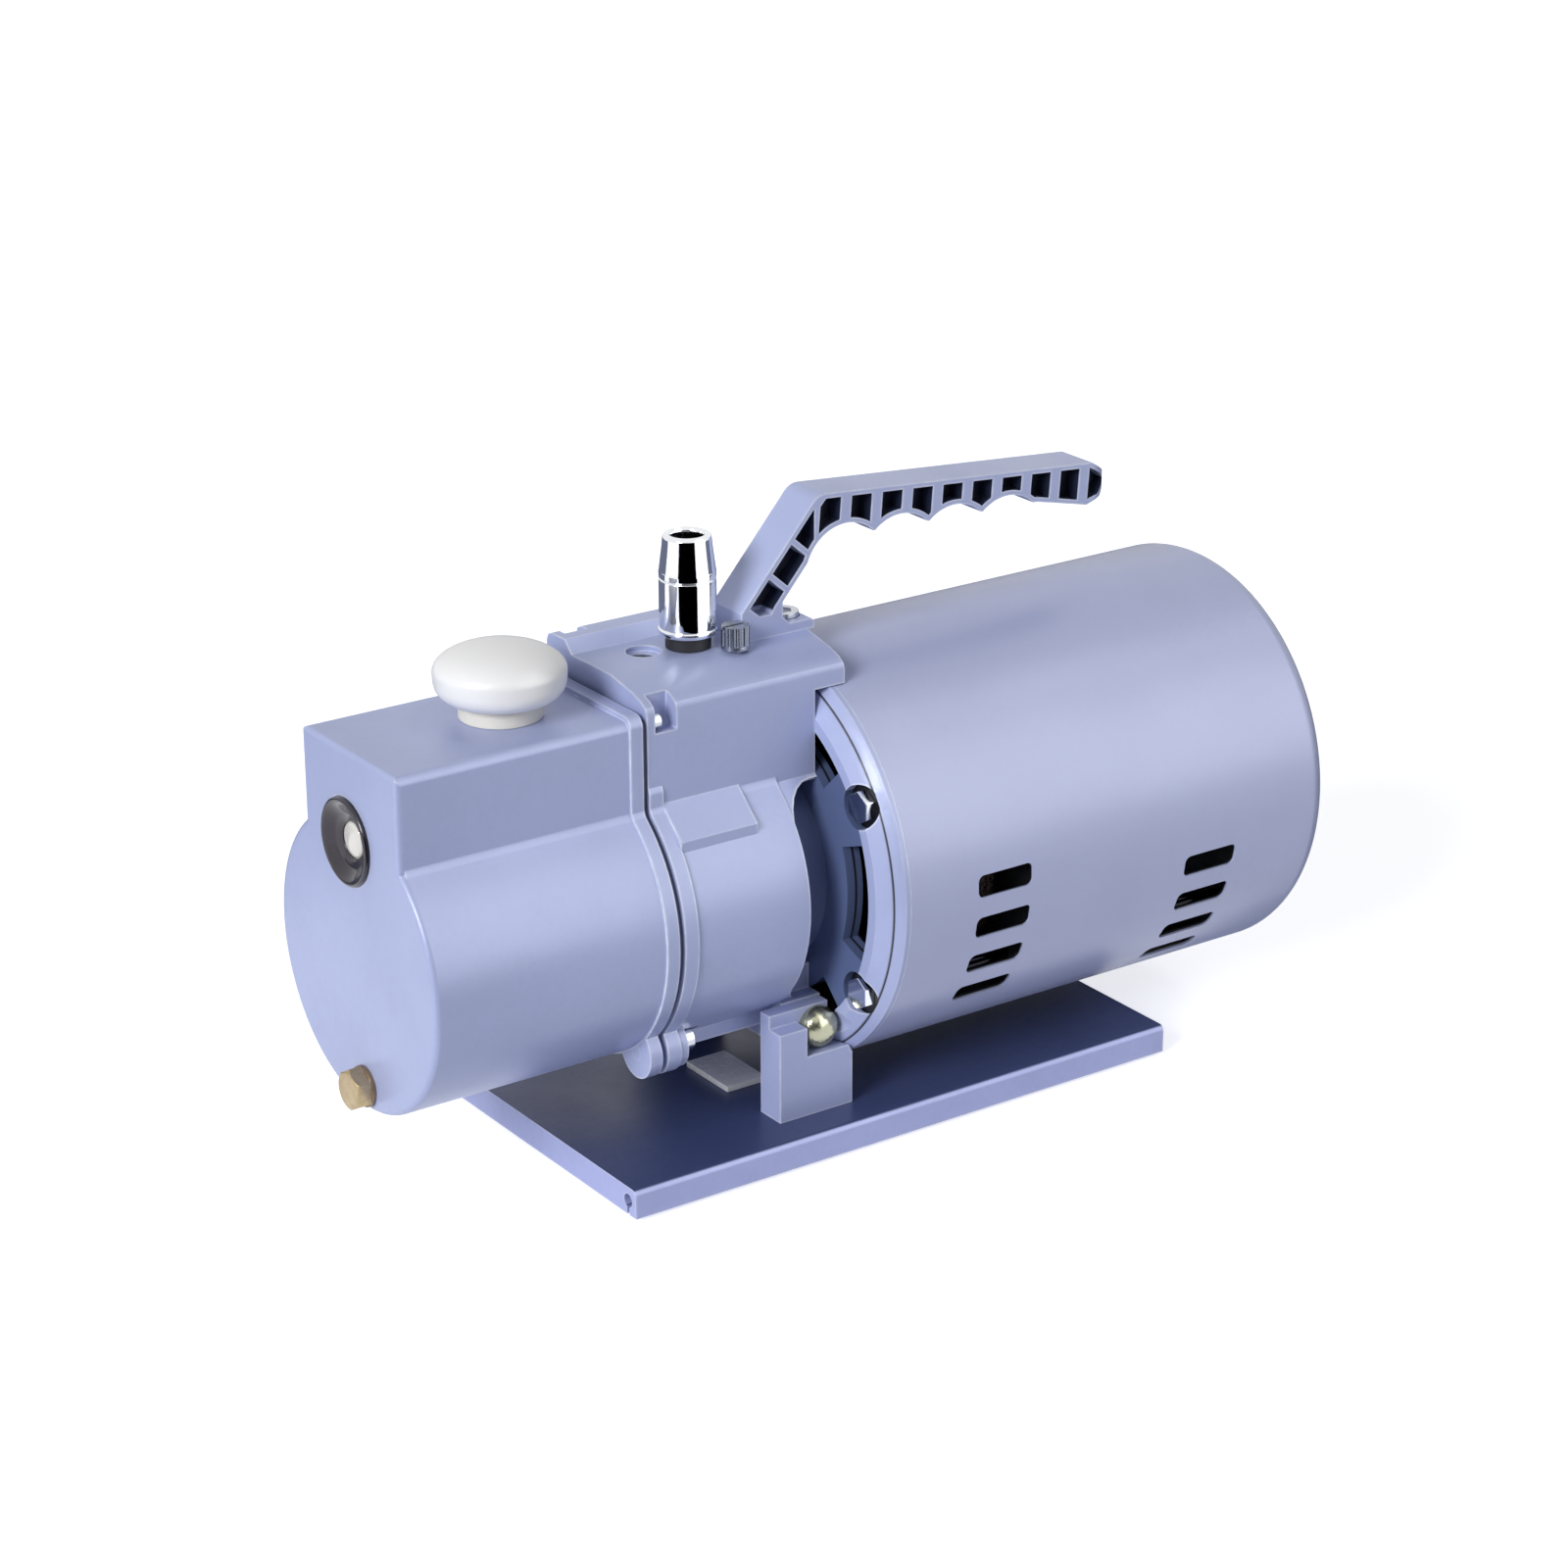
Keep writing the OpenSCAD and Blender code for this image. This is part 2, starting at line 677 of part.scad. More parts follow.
// Pump works: front plate, cylinder and rear plate stand one behind the other on the housing.
bore_r = rotor_r + rotor_offset + 0.05;
stator_z = -rotor_offset / 2;
cylinder_screw_r = 2.2;
cylinder_screw_circle = (bore_r + cylinder_r) / 2;
cylinder_screw_places = [
    for (a = [38, 142, 218, 322])
        [cylinder_screw_circle * cos(a), -rotor_offset * 3 / 4 + cylinder_screw_circle * sin(a)]
];
journal_r = shaft_r - 1.5;
bush_t = 1.5;
valve_flat = stator_z + cylinder_r - 3;
reed_x = x_cylinder + cylinder_len / 2;
reed_y = 8;
valve_screw_y = 8;

module works_holes(x, len) {
    for (p = cylinder_screw_places) rod_x(x - 1, len + 2, cylinder_screw_r + slip, p[0], p[1]);
}

module front_plate() color("gray") place() difference() {
    rod_x(x_front_plate, front_plate_t, cylinder_r, 0, stator_z);
    rod_x(x_front_plate - 1, front_plate_t + 2, journal_r + bush_t + slip);
    works_holes(x_front_plate, front_plate_t);
}

module pump_cylinder() color("dimgray") place() difference() {
    rod_x(x_cylinder, cylinder_len, cylinder_r, 0, stator_z);
    rod_x(x_cylinder - 1, cylinder_len + 2, bore_r, 0, -rotor_offset);
    translate([x_cylinder - 1, -50, valve_flat]) cube([cylinder_len + 2, 100, 20]);
    works_holes(x_cylinder, cylinder_len);
    // Exhaust ports under the reed and threads of its two screws
    for (i = [-1, 1])
        translate([reed_x + i * 5, reed_y, 10]) cylinder(h = 50, r = 2);
    for (i = [-1, 1])
        translate([reed_x + i * 6, -valve_screw_y, valve_flat - 5]) cylinder(h = 20, r = 1.5 + slip);
}

module rear_plate() color("gray") place() difference() {
    union() {
        rod_x(x_cylinder_end, rear_plate_t, cylinder_r, 0, stator_z);
        translate([x_cylinder_end, -9, 0]) cube([rear_plate_t, 18, inlet_z + 7]);
    }
    rod_x(x_cylinder_end - 1, rear_plate_t + 2, shaft_r + bush_t + slip);
    works_holes(x_cylinder_end, rear_plate_t);
    // Inlet drilling, from the housing's passage down to the suction side of the bore
    rod_x(x_housing - 5, 6, inlet_r * 0.8, 0, inlet_z);
    translate([x_housing - 5, 0, inlet_z]) rotate([28, 0, 0]) mirror([0, 0, 1]) cylinder(h = 22, r = 2.6);
    translate([x_cylinder_end - 1, -11, 18.5]) rotate([0, 90, 0]) cylinder(h = rear_plate_t - 2, r = 2.6);
}

module cylinder_screws() color("silver") place() {
    for (p = cylinder_screw_places)
        socket_screw(x_front_plate - 4, p[0], p[1], 2 * cylinder_screw_r,
            front_plate_t + cylinder_len + rear_plate_t + 9, 4);
}

// Rotor and shaft are turned from one bar; the slot across it carries two vanes.
x_pump_end = x_cavity + 18;

module pump_rotor() color("silver") place() difference() {
    union() {
        rod_x(x_front_plate + 1, front_plate_t, journal_r);
        rod_x(x_cylinder + free_gap / 4, cylinder_len - free_gap / 2, rotor_r);
        rod_x(x_cylinder_end - 1, x_pump_end - x_cylinder_end + 1, shaft_r - fit);
    }
    translate([x_cylinder - 1, -rotor_r - 1, -vane_t / 2 - fit])
        cube([cylinder_len + 0.5, 2 * rotor_r + 2, vane_t + 2 * fit]);
}

// A vane lies in the rotor's slot on one side, with two spring pockets in its inner edge.
vane_spring_r = 1.8;
vane_pocket = 9;
vane_in = rotor_r - 0.2 - vane_depth;
spring_places = [x_cylinder + cylinder_len * 0.25, x_cylinder + cylinder_len * 0.75];

module vane(side) difference() {
    translate([x_cylinder + free_gap / 2, side > 0 ? vane_in : -vane_in - vane_depth, -vane_t / 2])
        cube([cylinder_len - 2 * free_gap, vane_depth, vane_t]);
    for (x = spring_places)
        translate([x, side * (vane_in - 1), 0]) rotate([-side * 90, 0, 0])
            cylinder(h = vane_pocket + 1, r = vane_spring_r + free_gap);
}

module vane_a() color("saddlebrown") place() vane(-1);

module vane_b() color("saddlebrown") place() vane(1);

// Each spring pushes both vanes apart; it is drawn as its closed outer form, which never shows.
module vane_springs() color("gray") place() {
    for (x = spring_places)
        translate([x, 0, 0]) rotate([90, 0, 0])
            difference() {
                cylinder(h = 2 * (vane_in + vane_pocket) - 0.2, r = vane_spring_r, center = true);
                cylinder(h = 60, r = vane_spring_r - 0.7, center = true);
            }
}

module pump_bushes() color("peru") place() {
    difference() {
        rod_x(x_front_plate, front_plate_t, journal_r + bush_t);
        rod_x(x_front_plate - 1, front_plate_t + 2, journal_r + fit);
    }
    difference() {
        rod_x(x_cylinder_end, rear_plate_t, shaft_r + bush_t);
        rod_x(x_cylinder_end - 1, rear_plate_t + 2, shaft_r + fit);
    }
}

// A ball bearing seen as its two rings with a shield between them
module bearing(x, w, bore, outer) {
    rotate([90, 0, 90]) rotate_extrude() {
        ring = (outer - bore) * 0.26;
        translate([bore, x]) square([ring, w]);
        translate([outer - ring, x]) square([ring, w]);
        translate([bore, x + 1]) square([outer - bore, w - 2]);
    }
}

module pump_bearing() color("silver") place() bearing(x_bearing, bearing_w, shaft_r + fit, bearing_r);

module shaft_seal() color("black") place() difference() {
    rod_x(x_seal, seal_w, bearing_r);
    rod_x(x_seal - 1, seal_w + 2, shaft_r + fit);
    difference() {
        rod_x(x_seal + 1.5, seal_w, bearing_r - 3);
        rod_x(x_seal, seal_w, shaft_r + 2.5);
    }
}

// Exhaust valve: a spring-steel reed under a stiff, upturned stop
reed_t = 0.3;
reed_len = 22;
stop_t = 1.5;

module valve_strip(z, t) {
    difference() {
        translate([reed_x - 9.5, -valve_screw_y - 4, z]) cube([19, reed_len, t]);
        for (i = [-1, 1])
            translate([reed_x + i * 6, -valve_screw_y, z - 1]) cylinder(h = t + 2, r = 1.5 + slip);
    }
}

module exhaust_reed() color("lightsteelblue") place() valve_strip(valve_flat, reed_t);

module reed_stop() color("silver") place() difference() {
    valve_strip(valve_flat + reed_t, stop_t);
    translate([reed_x - 20, -valve_screw_y + 5, valve_flat]) rotate([6, 0, 0])
        translate([0, 0, -5]) cube([40, 30, 5 + reed_t]);
}

module reed_screws() color("silver") place() {
    for (i = [-1, 1])
        translate([reed_x + i * 6, -valve_screw_y, 0]) {
            translate([0, 0, valve_flat - 4]) cylinder(h = 4 + reed_t + stop_t + eps, r = 1.5);
            translate([0, 0, valve_flat + reed_t + stop_t]) cylinder(h = 2, r = 2.8);
        }
}

// Inlet
nipple_thread = 11;
nipple_thread_r = nipple_bore / 2 + 1.2;
nipple_collar = 1.8;
z_barrel = pad_z + neck_seal_h + nipple_collar;

module inlet_nipple() color("gainsboro") place() translate([x_nipple, 0, 0]) rotate_extrude($fn = 96) {
    bore = nipple_bore / 2;
    barrel = nipple_d / 2;
    polygon([
        [bore, pad_z - nipple_thread + 1],
        [nipple_thread_r, pad_z - nipple_thread + 1],
        [nipple_thread_r, pad_z],
        [neck_seal_d / 2 - 1, pad_z],
        [neck_seal_d / 2 - 1, pad_z + neck_seal_h],
        [barrel + 0.4, pad_z + neck_seal_h],
        [barrel + 0.4, z_barrel],
        [barrel, z_barrel],
        [barrel, z_barrel + nipple_barrel - 2.6],
        [barrel - 0.4, z_barrel + nipple_barrel - 2.2],
        [barrel - 0.4, z_barrel + nipple_barrel - 1.4],
        [barrel, z_barrel + nipple_barrel - 1],
        [barrel, z_barrel + nipple_barrel],
        [nipple_tip_d / 2 + 0.8, z_barrel + nipple_barrel + nipple_tip - 1.2],
        [nipple_tip_d / 2, z_barrel + nipple_barrel + nipple_tip],
        [bore + 0.8, z_barrel + nipple_barrel + nipple_tip],
        [bore, z_barrel + nipple_barrel + nipple_tip - 0.8]
    ]);
}

module nipple_seal() color("black") place() translate([x_nipple, 0, pad_z]) difference() {
    cylinder(h = neck_seal_h, r = neck_seal_d / 2);
    translate([0, 0, -1]) cylinder(h = neck_seal_h + 2, r = neck_seal_d / 2 - 1 + slip);
}

module inlet_strainer() color("silver") place()
    translate([x_nipple, 0, pad_z - nipple_thread - 6]) difference() {
        cylinder(h = 7, r = inlet_r - slip);
        translate([0, 0, 1]) cylinder(h = 10, r = inlet_r - 1);
    }

// Recessed plug of the oil channel in front of the nipple
x_plug = x_nipple - 14;
plug_y = 4;
plug_r = 4;
plug_depth = 8;

module channel_plug() color("gray") place() translate([x_plug, plug_y, pad_z - plug_depth]) difference() {
    cylinder(h = plug_depth - 2.6, r = plug_r);
    translate([0, 0, plug_depth - 2.6 - 2]) cylinder(h = 4, r = 2.4, $fn = 6);
}

// Gas ballast valve: a knurled knob with a needle stem
x_ballast = x_nipple + 10.5;
ballast_y = -10.6;
ballast_stem_r = 2;
ballast_depth = 12;
ballast_knob_h = 7.4;

module ballast_knob() color("gainsboro") place() translate([x_ballast, ballast_y, pad_z]) {
    difference() {
        translate([0, 0, free_gap]) cylinder(h = ballast_knob_h, r = ballast_d / 2);
        for (a = [0:30:330]) rotate(a)
            translate([ballast_d / 2 + 0.4, 0, 1.6]) cylinder(h = 20, r = 0.9, $fn = 16);
        translate([-10, -0.5, free_gap + ballast_knob_h - 1.2]) cube([20, 1, 5]);
    }
    translate([0, 0, -ballast_depth + 1]) cylinder(h = ballast_depth, r = ballast_stem_r);
}

// Handle: one casting with flanges, a middle web and ribs between open pockets
foot_rise = 9.5;
x_foot = x_nipple + 14.7;
foot_len = 27.5;
corner_x = x_foot + (handle_h - foot_rise) / tan(stem_angle);
corner_up = pad_z + handle_h;
finger_start = 12.5;
finger_count = 4;
groove_t = grip_t - (finger_r - sqrt(pow(finger_r, 2) - pow(finger_pitch / 2, 2))) + 0.4;
pocket_pitch = 12;
pocket_count = 10;
x_handle_bolt = x_foot + foot_len - 6.3;
handle_bolt_r = 3;
handle_head_r = 5;
handle_head_h = 3.2;
z_handle_seat = pad_z + foot_t - 1.6;

// Moves the grip's own frame (along the grip, square to it) to its place in the XZ plane.
module grip_frame() translate([corner_x, corner_up]) rotate(-grip_tilt) children();

module grip_outline(inset) grip_frame() difference() {
    drop = tan(grip_taper);
    end = grip_len;
    t = grip_t;
    polygon([
        [corner_round / 2, -inset],
        [end - 9 - inset / 2, -inset],
        [end - 3 - inset, -3.2 - inset / 2],
        [end - inset, -t / 2 + 0.6],
        [end - 4 - inset, -t + 2.4 + inset / 2],
        [end - 10 - inset / 2, -t + inset],
        [end - 31, -t + drop * (end - 42) + inset],
        [3, -t - 0.6 + inset],
        [0, -t + inset],
        [0.6, -inset - 3]
    ]);
    for (i = [0:finger_count - 1])
        translate([
            finger_start + i * finger_pitch,
            -groove_t - finger_r + drop * i * finger_pitch
        ]) circle(r = finger_r + inset, $fn = 96);
}

// Stem from the foot to the grip's corner; the first finger hollow rounds its back.
module stem_outline(inset) {
    back = stem_t / sin(stem_angle);
    shift = inset / sin(stem_angle);
    turn = stem_angle + grip_tilt;
    // Centre of the rounding that blends the stem's front into the grip's top
    reach = corner_round * tan(turn / 2);
    round_x = corner_x + reach * cos(grip_tilt) - corner_round * sin(grip_tilt);
    round_z = corner_up - reach * sin(grip_tilt) - corner_round * cos(grip_tilt);
    r = corner_round - inset;
    difference() {
        polygon([
            [x_foot + shift, pad_z + foot_rise],
            for (i = [0:4])
                [round_x + r * cos(90 + stem_angle - turn * i / 4),
                    round_z + r * sin(90 + stem_angle - turn * i / 4)],
            [corner_x + 12, corner_up - 12 * tan(grip_tilt) - inset],
            [corner_x + back - shift + 2, corner_up - 12],
            [corner_x + back - shift - 12 / tan(stem_angle), corner_up - 12],
            [x_foot + back - shift, pad_z + foot_rise],
            [x_foot + back - shift - 1, pad_z + foot_rise - 2],
            [x_foot + shift + 1, pad_z + foot_rise - 2]
        ]);
        grip_frame() translate([finger_start, -groove_t - finger_r])
            circle(r = finger_r + inset, $fn = 96);
    }
}

module foot_outline() {
    back = stem_t / sin(stem_angle);
    polygon([
        [x_foot, pad_z],
        [x_foot + foot_len, pad_z],
        [x_foot + foot_len, pad_z + foot_t - 1],
        [x_foot + foot_len - 1, pad_z + foot_t],
        [x_foot + back + 3.5, pad_z + foot_t],
        [x_foot + back + 1, pad_z + foot_t + 2.5],
        [x_foot + back + 1, pad_z + foot_rise + 1],
        [x_foot, pad_z + foot_rise]
    ]);
}

// Open pockets of one side: ten along the grip and three down the stem
module pocket_outline() {
    intersection() {
        grip_outline(flange_t);
        grip_frame() for (i = [0:pocket_count - 1])
            translate([i * pocket_pitch + 1, -40]) square([pocket_pitch - rib_t, 60]);
    }
    intersection() {
        stem_outline(flange_t);
        translate([x_foot, pad_z + foot_rise]) rotate(stem_angle) for (i = [0:2])
            translate([3 + i * (pocket_pitch + 1), -30]) square([pocket_pitch + 1 - rib_t / 2, 60]);
        translate([0, corner_up - 60]) square([corner_x - 1.5, 57]);
    }
}

module handle() color("lightsteelblue") place() difference() {
    intersection() {
        union() {
            sweep_y(handle_w) grip_outline(0);
            sweep_y(handle_w) stem_outline(0);
            sweep_y(handle_w) foot_outline();
        }
        // Seen from above the nose is rounded.
        union() {
            nose_x = corner_x + grip_len - 9;
            translate([x_foot - 10, -handle_w / 2, 0]) cube([nose_x - x_foot + 10, handle_w, 200]);
            translate([nose_x, 0, 0]) cylinder(h = 200, r = handle_w / 2);
        }
    }
    for (side = [-1, 1])
        sweep_y((handle_w - web_t) / 2, side * (handle_w + web_t) / 4 + side * eps) pocket_outline();
    translate([x_handle_bolt, 0, pad_z - 1]) cylinder(h = 20, r = handle_bolt_r + slip);
    translate([x_handle_bolt, 0, z_handle_seat]) cylinder(h = 5, r = handle_head_r + free_gap);
}

module handle_bolt() color("silver") place() translate([x_handle_bolt, 0, z_handle_seat]) difference() {
    union() {
        cylinder(h = handle_head_h, r = handle_head_r);
        translate([0, 0, lip_r - z_handle_seat])
            cylinder(h = z_handle_seat - lip_r + eps, r = handle_bolt_r);
    }
    translate([0, 0, 1.2]) cylinder(h = handle_head_h, r = handle_bolt_r - 0.1, $fn = 6);
}

// Coupling: two clawed hubs and a rubber spider between their claws
hub_r = 20;
claw_len = 9;
x_spider = x_pump_end + 1;
pump_hub_len = x_spider - x_cavity - 3;
motor_hub_len = 11;
claw_count = 3;
claw_step = 0.4;
claw_root = 1;

spider_leg = 4.2;

// Claws with sides parallel to the spider's legs, so the gap between them is even.
module claws(x, len, turn) {
    half_step = 90 / claw_count;
    apex = (spider_leg / 2 + free_gap) / sin(half_step);
    reach = 2 * hub_r;
    for (i = [0:claw_count - 1]) rotate([turn + i * 360 / claw_count, 0, 0])
        intersection() {
            difference() {
                rod_x(x, len, hub_r - claw_step);
                rod_x(x - 1, len + 2, shaft_r + 3);
            }
            sweep_x(x, len) polygon([
                [apex, 0],
                [apex + reach * cos(half_step), -reach * sin(half_step)],
                [apex + reach * cos(half_step), reach * sin(half_step)]
            ]);
        }
}

module hub_screw_hole(x, r) {
    translate([x, 0, 0]) rotate([180, 0, 0]) cylinder(h = hub_r + 5, r = r);
}

module pump_coupling_hub() color("silver") place() {
    difference() {
        rod_x(x_spider - pump_hub_len, pump_hub_len, hub_r);
        rod_x(x_spider - pump_hub_len - 1, pump_hub_len + 2, shaft_r);
        hub_screw_hole(x_spider - pump_hub_len / 2, 2.5 + slip);
    }
    claws(x_spider - claw_root, claw_len + claw_root, 0);
}

module pump_hub_screw() color("dimgray") place() hub_screw(x_spider - pump_hub_len / 2);

module hub_screw(x) difference() {
    translate([x, 0, -hub_r + 0.5]) cylinder(h = hub_r - 0.5 - shaft_r, r = 2.5);
    translate([x, 0, -hub_r]) cylinder(h = 3, r = 1.5, $fn = 6);
}

x_motor_hub = x_spider + claw_len + 1;

module motor_coupling_hub() color("silver") place() {
    difference() {
        rod_x(x_motor_hub, motor_hub_len, hub_r);
        rod_x(x_motor_hub - 1, motor_hub_len + 2, shaft_r);
        hub_screw_hole(x_motor_hub + motor_hub_len / 2, 2.5 + slip);
    }
    claws(x_motor_hub - claw_len, claw_len + claw_root, 60);
}

module motor_hub_screw() color("dimgray") place() hub_screw(x_motor_hub + motor_hub_len / 2);

module coupling_spider() color("firebrick") place() {
    t = claw_len - 1;
    difference() {
        union() {
            rod_x(x_spider + 0.5, t, shaft_r + 2.6);
            for (i = [0:2 * claw_count - 1]) rotate([30 + i * 60, 0, 0])
                translate([x_spider + 0.5, 0, -spider_leg / 2]) cube([t, hub_r - 1, spider_leg]);
        }
        rod_x(x_spider - 1, t + 4, 4);
    }
}

// Motor front shield: hub, four arms, rim, and a lug with a recess at each tie bolt
hub_face_r = motor_r - 23;
window_out_r = motor_r - 12;
rim_flat_r = motor_r - 8;
shield_wall = 6;
bracket_circle_r = 31.5;
bracket_screw_r = 2.5;
bracket_screw_angles = [45, 135, 225, 315];
tie_r = 2.5;
tie_head_flats = 9.5;
tie_head_h = 3.6;
tie_floor = 3.5;
tie_angles = [tie_angle, 180 - tie_angle, 180 + tie_angle, 360 - tie_angle];
x_front_bearing = x_cover + 1;

// A window between two angles, measured in the YZ plane
module ring_window(x, len, r_in, r_out, from, to) {
    span = to - from;
    translate([x, 0, 0]) rotate([90, 0, 90]) linear_extrude(len) intersection() {
        difference() {
            circle(r = r_out, $fn = 96);
            circle(r = r_in, $fn = 96);
        }
        polygon(concat([[0, 0]], [
            for (i = [0:4]) 2 * r_out * [cos(from + span * i / 4), sin(from + span * i / 4)]
        ]));
    }
}

module at_tie_bolts() {
    for (a = tie_angles) translate([0, tie_circle_r * cos(a), tie_circle_r * sin(a)]) children();
}

module front_shield() color("lightsteelblue") place() difference() {
    union() {
        rotate([90, 0, 90]) rotate_extrude($fn = 128) polygon([
            [bearing_r - 4, x_shield],
            [rim_flat_r, x_shield],
            [motor_r - 2, x_shield + 3.6],
            [motor_r, x_shield + 6],
            [motor_r, x_cover],
            [motor_r - cover_wall - slip, x_cover],
            [motor_r - cover_wall - slip, x_cover + 6],
            [motor_r - cover_wall - 4, x_cover + 6],
            [motor_r - cover_wall - 4, x_shield + shield_wall],
            [bearing_r + 5, x_shield + shield_wall],
            [bearing_r + 5, x_front_bearing + bearing_w + 1],
            [bearing_r + slip, x_front_bearing + bearing_w + 1],
            [bearing_r + slip, x_front_bearing],
            [bearing_r - 4, x_front_bearing]
        ]);
        // Lugs that carry the tie bolts
        at_tie_bolts() rod_x(x_shield, shield_len + 2, 7);
    }
    // Windows at the sides, above and below
    for (a = [0, 180])
        ring_window(x_shield - 1, shield_len + 1, hub_face_r, window_out_r, a - 20, a + 20);
    for (a = [64, 116, 244, 296])
        ring_window(x_shield - 1, shield_len + 1, hub_face_r, window_out_r, a - 20, a + 20);
    // Scalloped recesses around the bolt heads
    at_tie_bolts() {
        rod_x(x_shield - 1, 1 + tie_floor, tie_head_flats / 2 + 2.4);
        rod_x(x_shield - 1, shield_len + 5, tie_r + slip);
    }
    // Room for the heads of the foot bolts
    for (side = [-1, 1])
        translate([x_foot_bolt, side * (y_foot_head - 0.3), foot_bolt_z]) rotate([-side * 90, 0, 0])
            cylinder(h = 30, r = foot_head_r + free_gap);
    // Countersunk seats of the screws into the neck
    for (a = bracket_screw_angles)
        translate([0, bracket_circle_r * cos(a), bracket_circle_r * sin(a)]) {
            rod_x(x_shield - 1, shield_wall + 2, bracket_screw_r + slip);
            rod_x(x_shield + shield_wall - 3, 10, bracket_screw_r * 1.6 + slip);
        }
}

module bracket_screws() color("dimgray") place() {
    for (a = bracket_screw_angles)
        translate([x_shield + shield_wall, bracket_circle_r * cos(a), bracket_circle_r * sin(a)])
            mirror([1, 0, 0]) socket_screw(0, 0, 0, 2 * bracket_screw_r, 13, 3);
}

// Motor cover: a drawn can with a rounded closed end and two groups of slots on each side
front_slots_x = 26;
rear_slots_x = cover_len - 61.2;
front_slot_angles = [for (i = [0:3]) 2 - slot_step * i];
rear_slot_angles = [for (i = [0:3]) -9.5 - slot_step * i];

// One slot with round ends, cut outwards through the cover at the given angle
module cover_slot(x, a) {
    for (side = [0, 1]) mirror([0, side, 0]) rotate([-a, 0, 0]) translate([x, 0, 0])
        rotate([90, 0, 0]) linear_extrude(motor_r + 5) {
            translate([slot_w * 0.3, -slot_w / 2]) square([slot_len - slot_w * 0.6, slot_w]);
            translate([0, -slot_w * 0.2]) square([slot_len, slot_w * 0.4]);
            for (sx = [slot_w * 0.3, slot_len - slot_w * 0.3], sz = [-1, 1])
                translate([sx, sz * slot_w * 0.2]) circle(r = slot_w * 0.3);
        }
}

module cover_outline(inset, back) {
    r = motor_r - inset;
    round_r = cover_round - inset;
    x_end = x_rear - back;
    square([r - round_r, x_end]);
    square([r, x_end - round_r]);
    translate([r - round_r, x_end - round_r]) circle(r = round_r);
}

module motor_cover() color("lightsteelblue") place() difference() {
    rotate([90, 0, 90]) rotate_extrude($fn = 160) intersection() {
        difference() {
            cover_outline(0, 0);
            cover_outline(cover_wall, cover_wall);
        }
        translate([0, x_cover + slip]) square([motor_r + 1, cover_len]);
    }
    for (a = front_slot_angles) cover_slot(x_cover + front_slots_x, a);
    for (a = rear_slot_angles) cover_slot(x_cover + rear_slots_x, a);
    // Air inlet grille, cable entry, switch opening and screw holes in the rear end
    for (ring = [0:2]) for (i = [0:5 + 4 * ring])
        rotate([i * 360 / (6 + 4 * ring), 0, 0])
            rod_x(x_rear - 10, 20, 3, 12 + 10 * ring, 0);
    rod_x(x_rear - 10, 20, gland_thread_r + slip, 0, -gland_z);
    translate([x_rear - 10, -switch_w / 2 - slip, switch_z - switch_h / 2 - slip])
        cube([20, switch_w + 2 * slip, switch_h + 2 * slip]);
    for (a = cover_screw_angles)
        rod_x(x_rear - 10, 20, 2 + slip, cover_screw_circle * cos(a), cover_screw_circle * sin(a));
}

cover_screw_circle = motor_r - 24;
cover_screw_angles = [0, 180];
cover_head_h = 1.6;
x_post_end = x_rear - cover_wall;

module cover_screws() color("silver") place() {
    for (a = cover_screw_angles)
        translate([0, cover_screw_circle * cos(a), cover_screw_circle * sin(a)]) {
            rod_x(x_rear - cover_wall - 8, 8 + cover_wall, 2);
            rod_x(x_rear, cover_head_h, 3.4);
        }
}

// Stator core with 24 slots; the windings fill the slots and turn over at both ends.
fan_room = 29.5;
winding_room = 34;
x_rear_shield = x_rear - fan_room;
stator_front = x_rear_shield - winding_room - stator_len;
stator_end = stator_front + stator_len;
stator_r = motor_r - cover_wall - 0.3;
stator_bore_r = stator_r - stator_depth;
slot_count = 24;
coil_in = stator_bore_r + 4;
coil_out = stator_r - 14;
coil_len = 22;

module slot_shape(grow = 0) {
    for (i = [0:slot_count - 1]) rotate(i * 360 / slot_count)
        translate([coil_in - grow, -2.1 - grow]) square([coil_out - coil_in + 2 * grow, 4.2 + 2 * grow]);
}

module stator_core() color("dimgray") place() difference() {
    sweep_x(stator_front, stator_len) difference() {
        circle(r = stator_r, $fn = 128);
        circle(r = stator_bore_r, $fn = 128);
        slot_shape();
        for (i = [0:slot_count - 1]) rotate(i * 360 / slot_count)
            translate([stator_bore_r - 1, -0.9]) square([coil_in - stator_bore_r + 2, 1.8]);
        for (a = tie_angles) rotate(a) translate([tie_circle_r, 0]) circle(r = tie_r + free_gap);
    }
}

module windings() color("chocolate") place() {
    sweep_x(stator_front - 3, stator_len + 6) slot_shape(-slip * 2);
    for (x = [stator_front - 2 - coil_len + 2, stator_end + 2])
        rotate([90, 0, 90]) rotate_extrude($fn = 96) {
            r = 4;
            t = coil_len - 2;
            translate([coil_in + 0.5, x + r]) square([coil_out - coil_in - 1, t - 2 * r]);
            translate([coil_in + 0.5 + r, x]) square([coil_out - coil_in - 1 - 2 * r, t]);
            for (cx = [coil_in + 0.5 + r, coil_out - 0.5 - r], cy = [x + r, x + t - r])
                translate([cx, cy]) circle(r = r);
        }
}

// Rotor on the motor shaft: core, end rings and short fins
rotor_core_r = stator_bore_r - air_gap;

module rotor_core() color("gray") place() difference() {
    union() {
        rod_x(stator_front, stator_len, rotor_core_r);
        for (x = [stator_front - 6, stator_end - eps])
            rod_x(x, 6 + eps, rotor_core_r - 2);
        for (x = [stator_front - 12, stator_end + 6 - eps], i = [0:7])
            rotate([i * 45, 0, 0]) translate([x, -1, rotor_core_r - 9]) cube([6 + 2 * eps, 2, 6]);
    }
    rod_x(stator_front - 20, stator_len + 40, shaft_r);
}

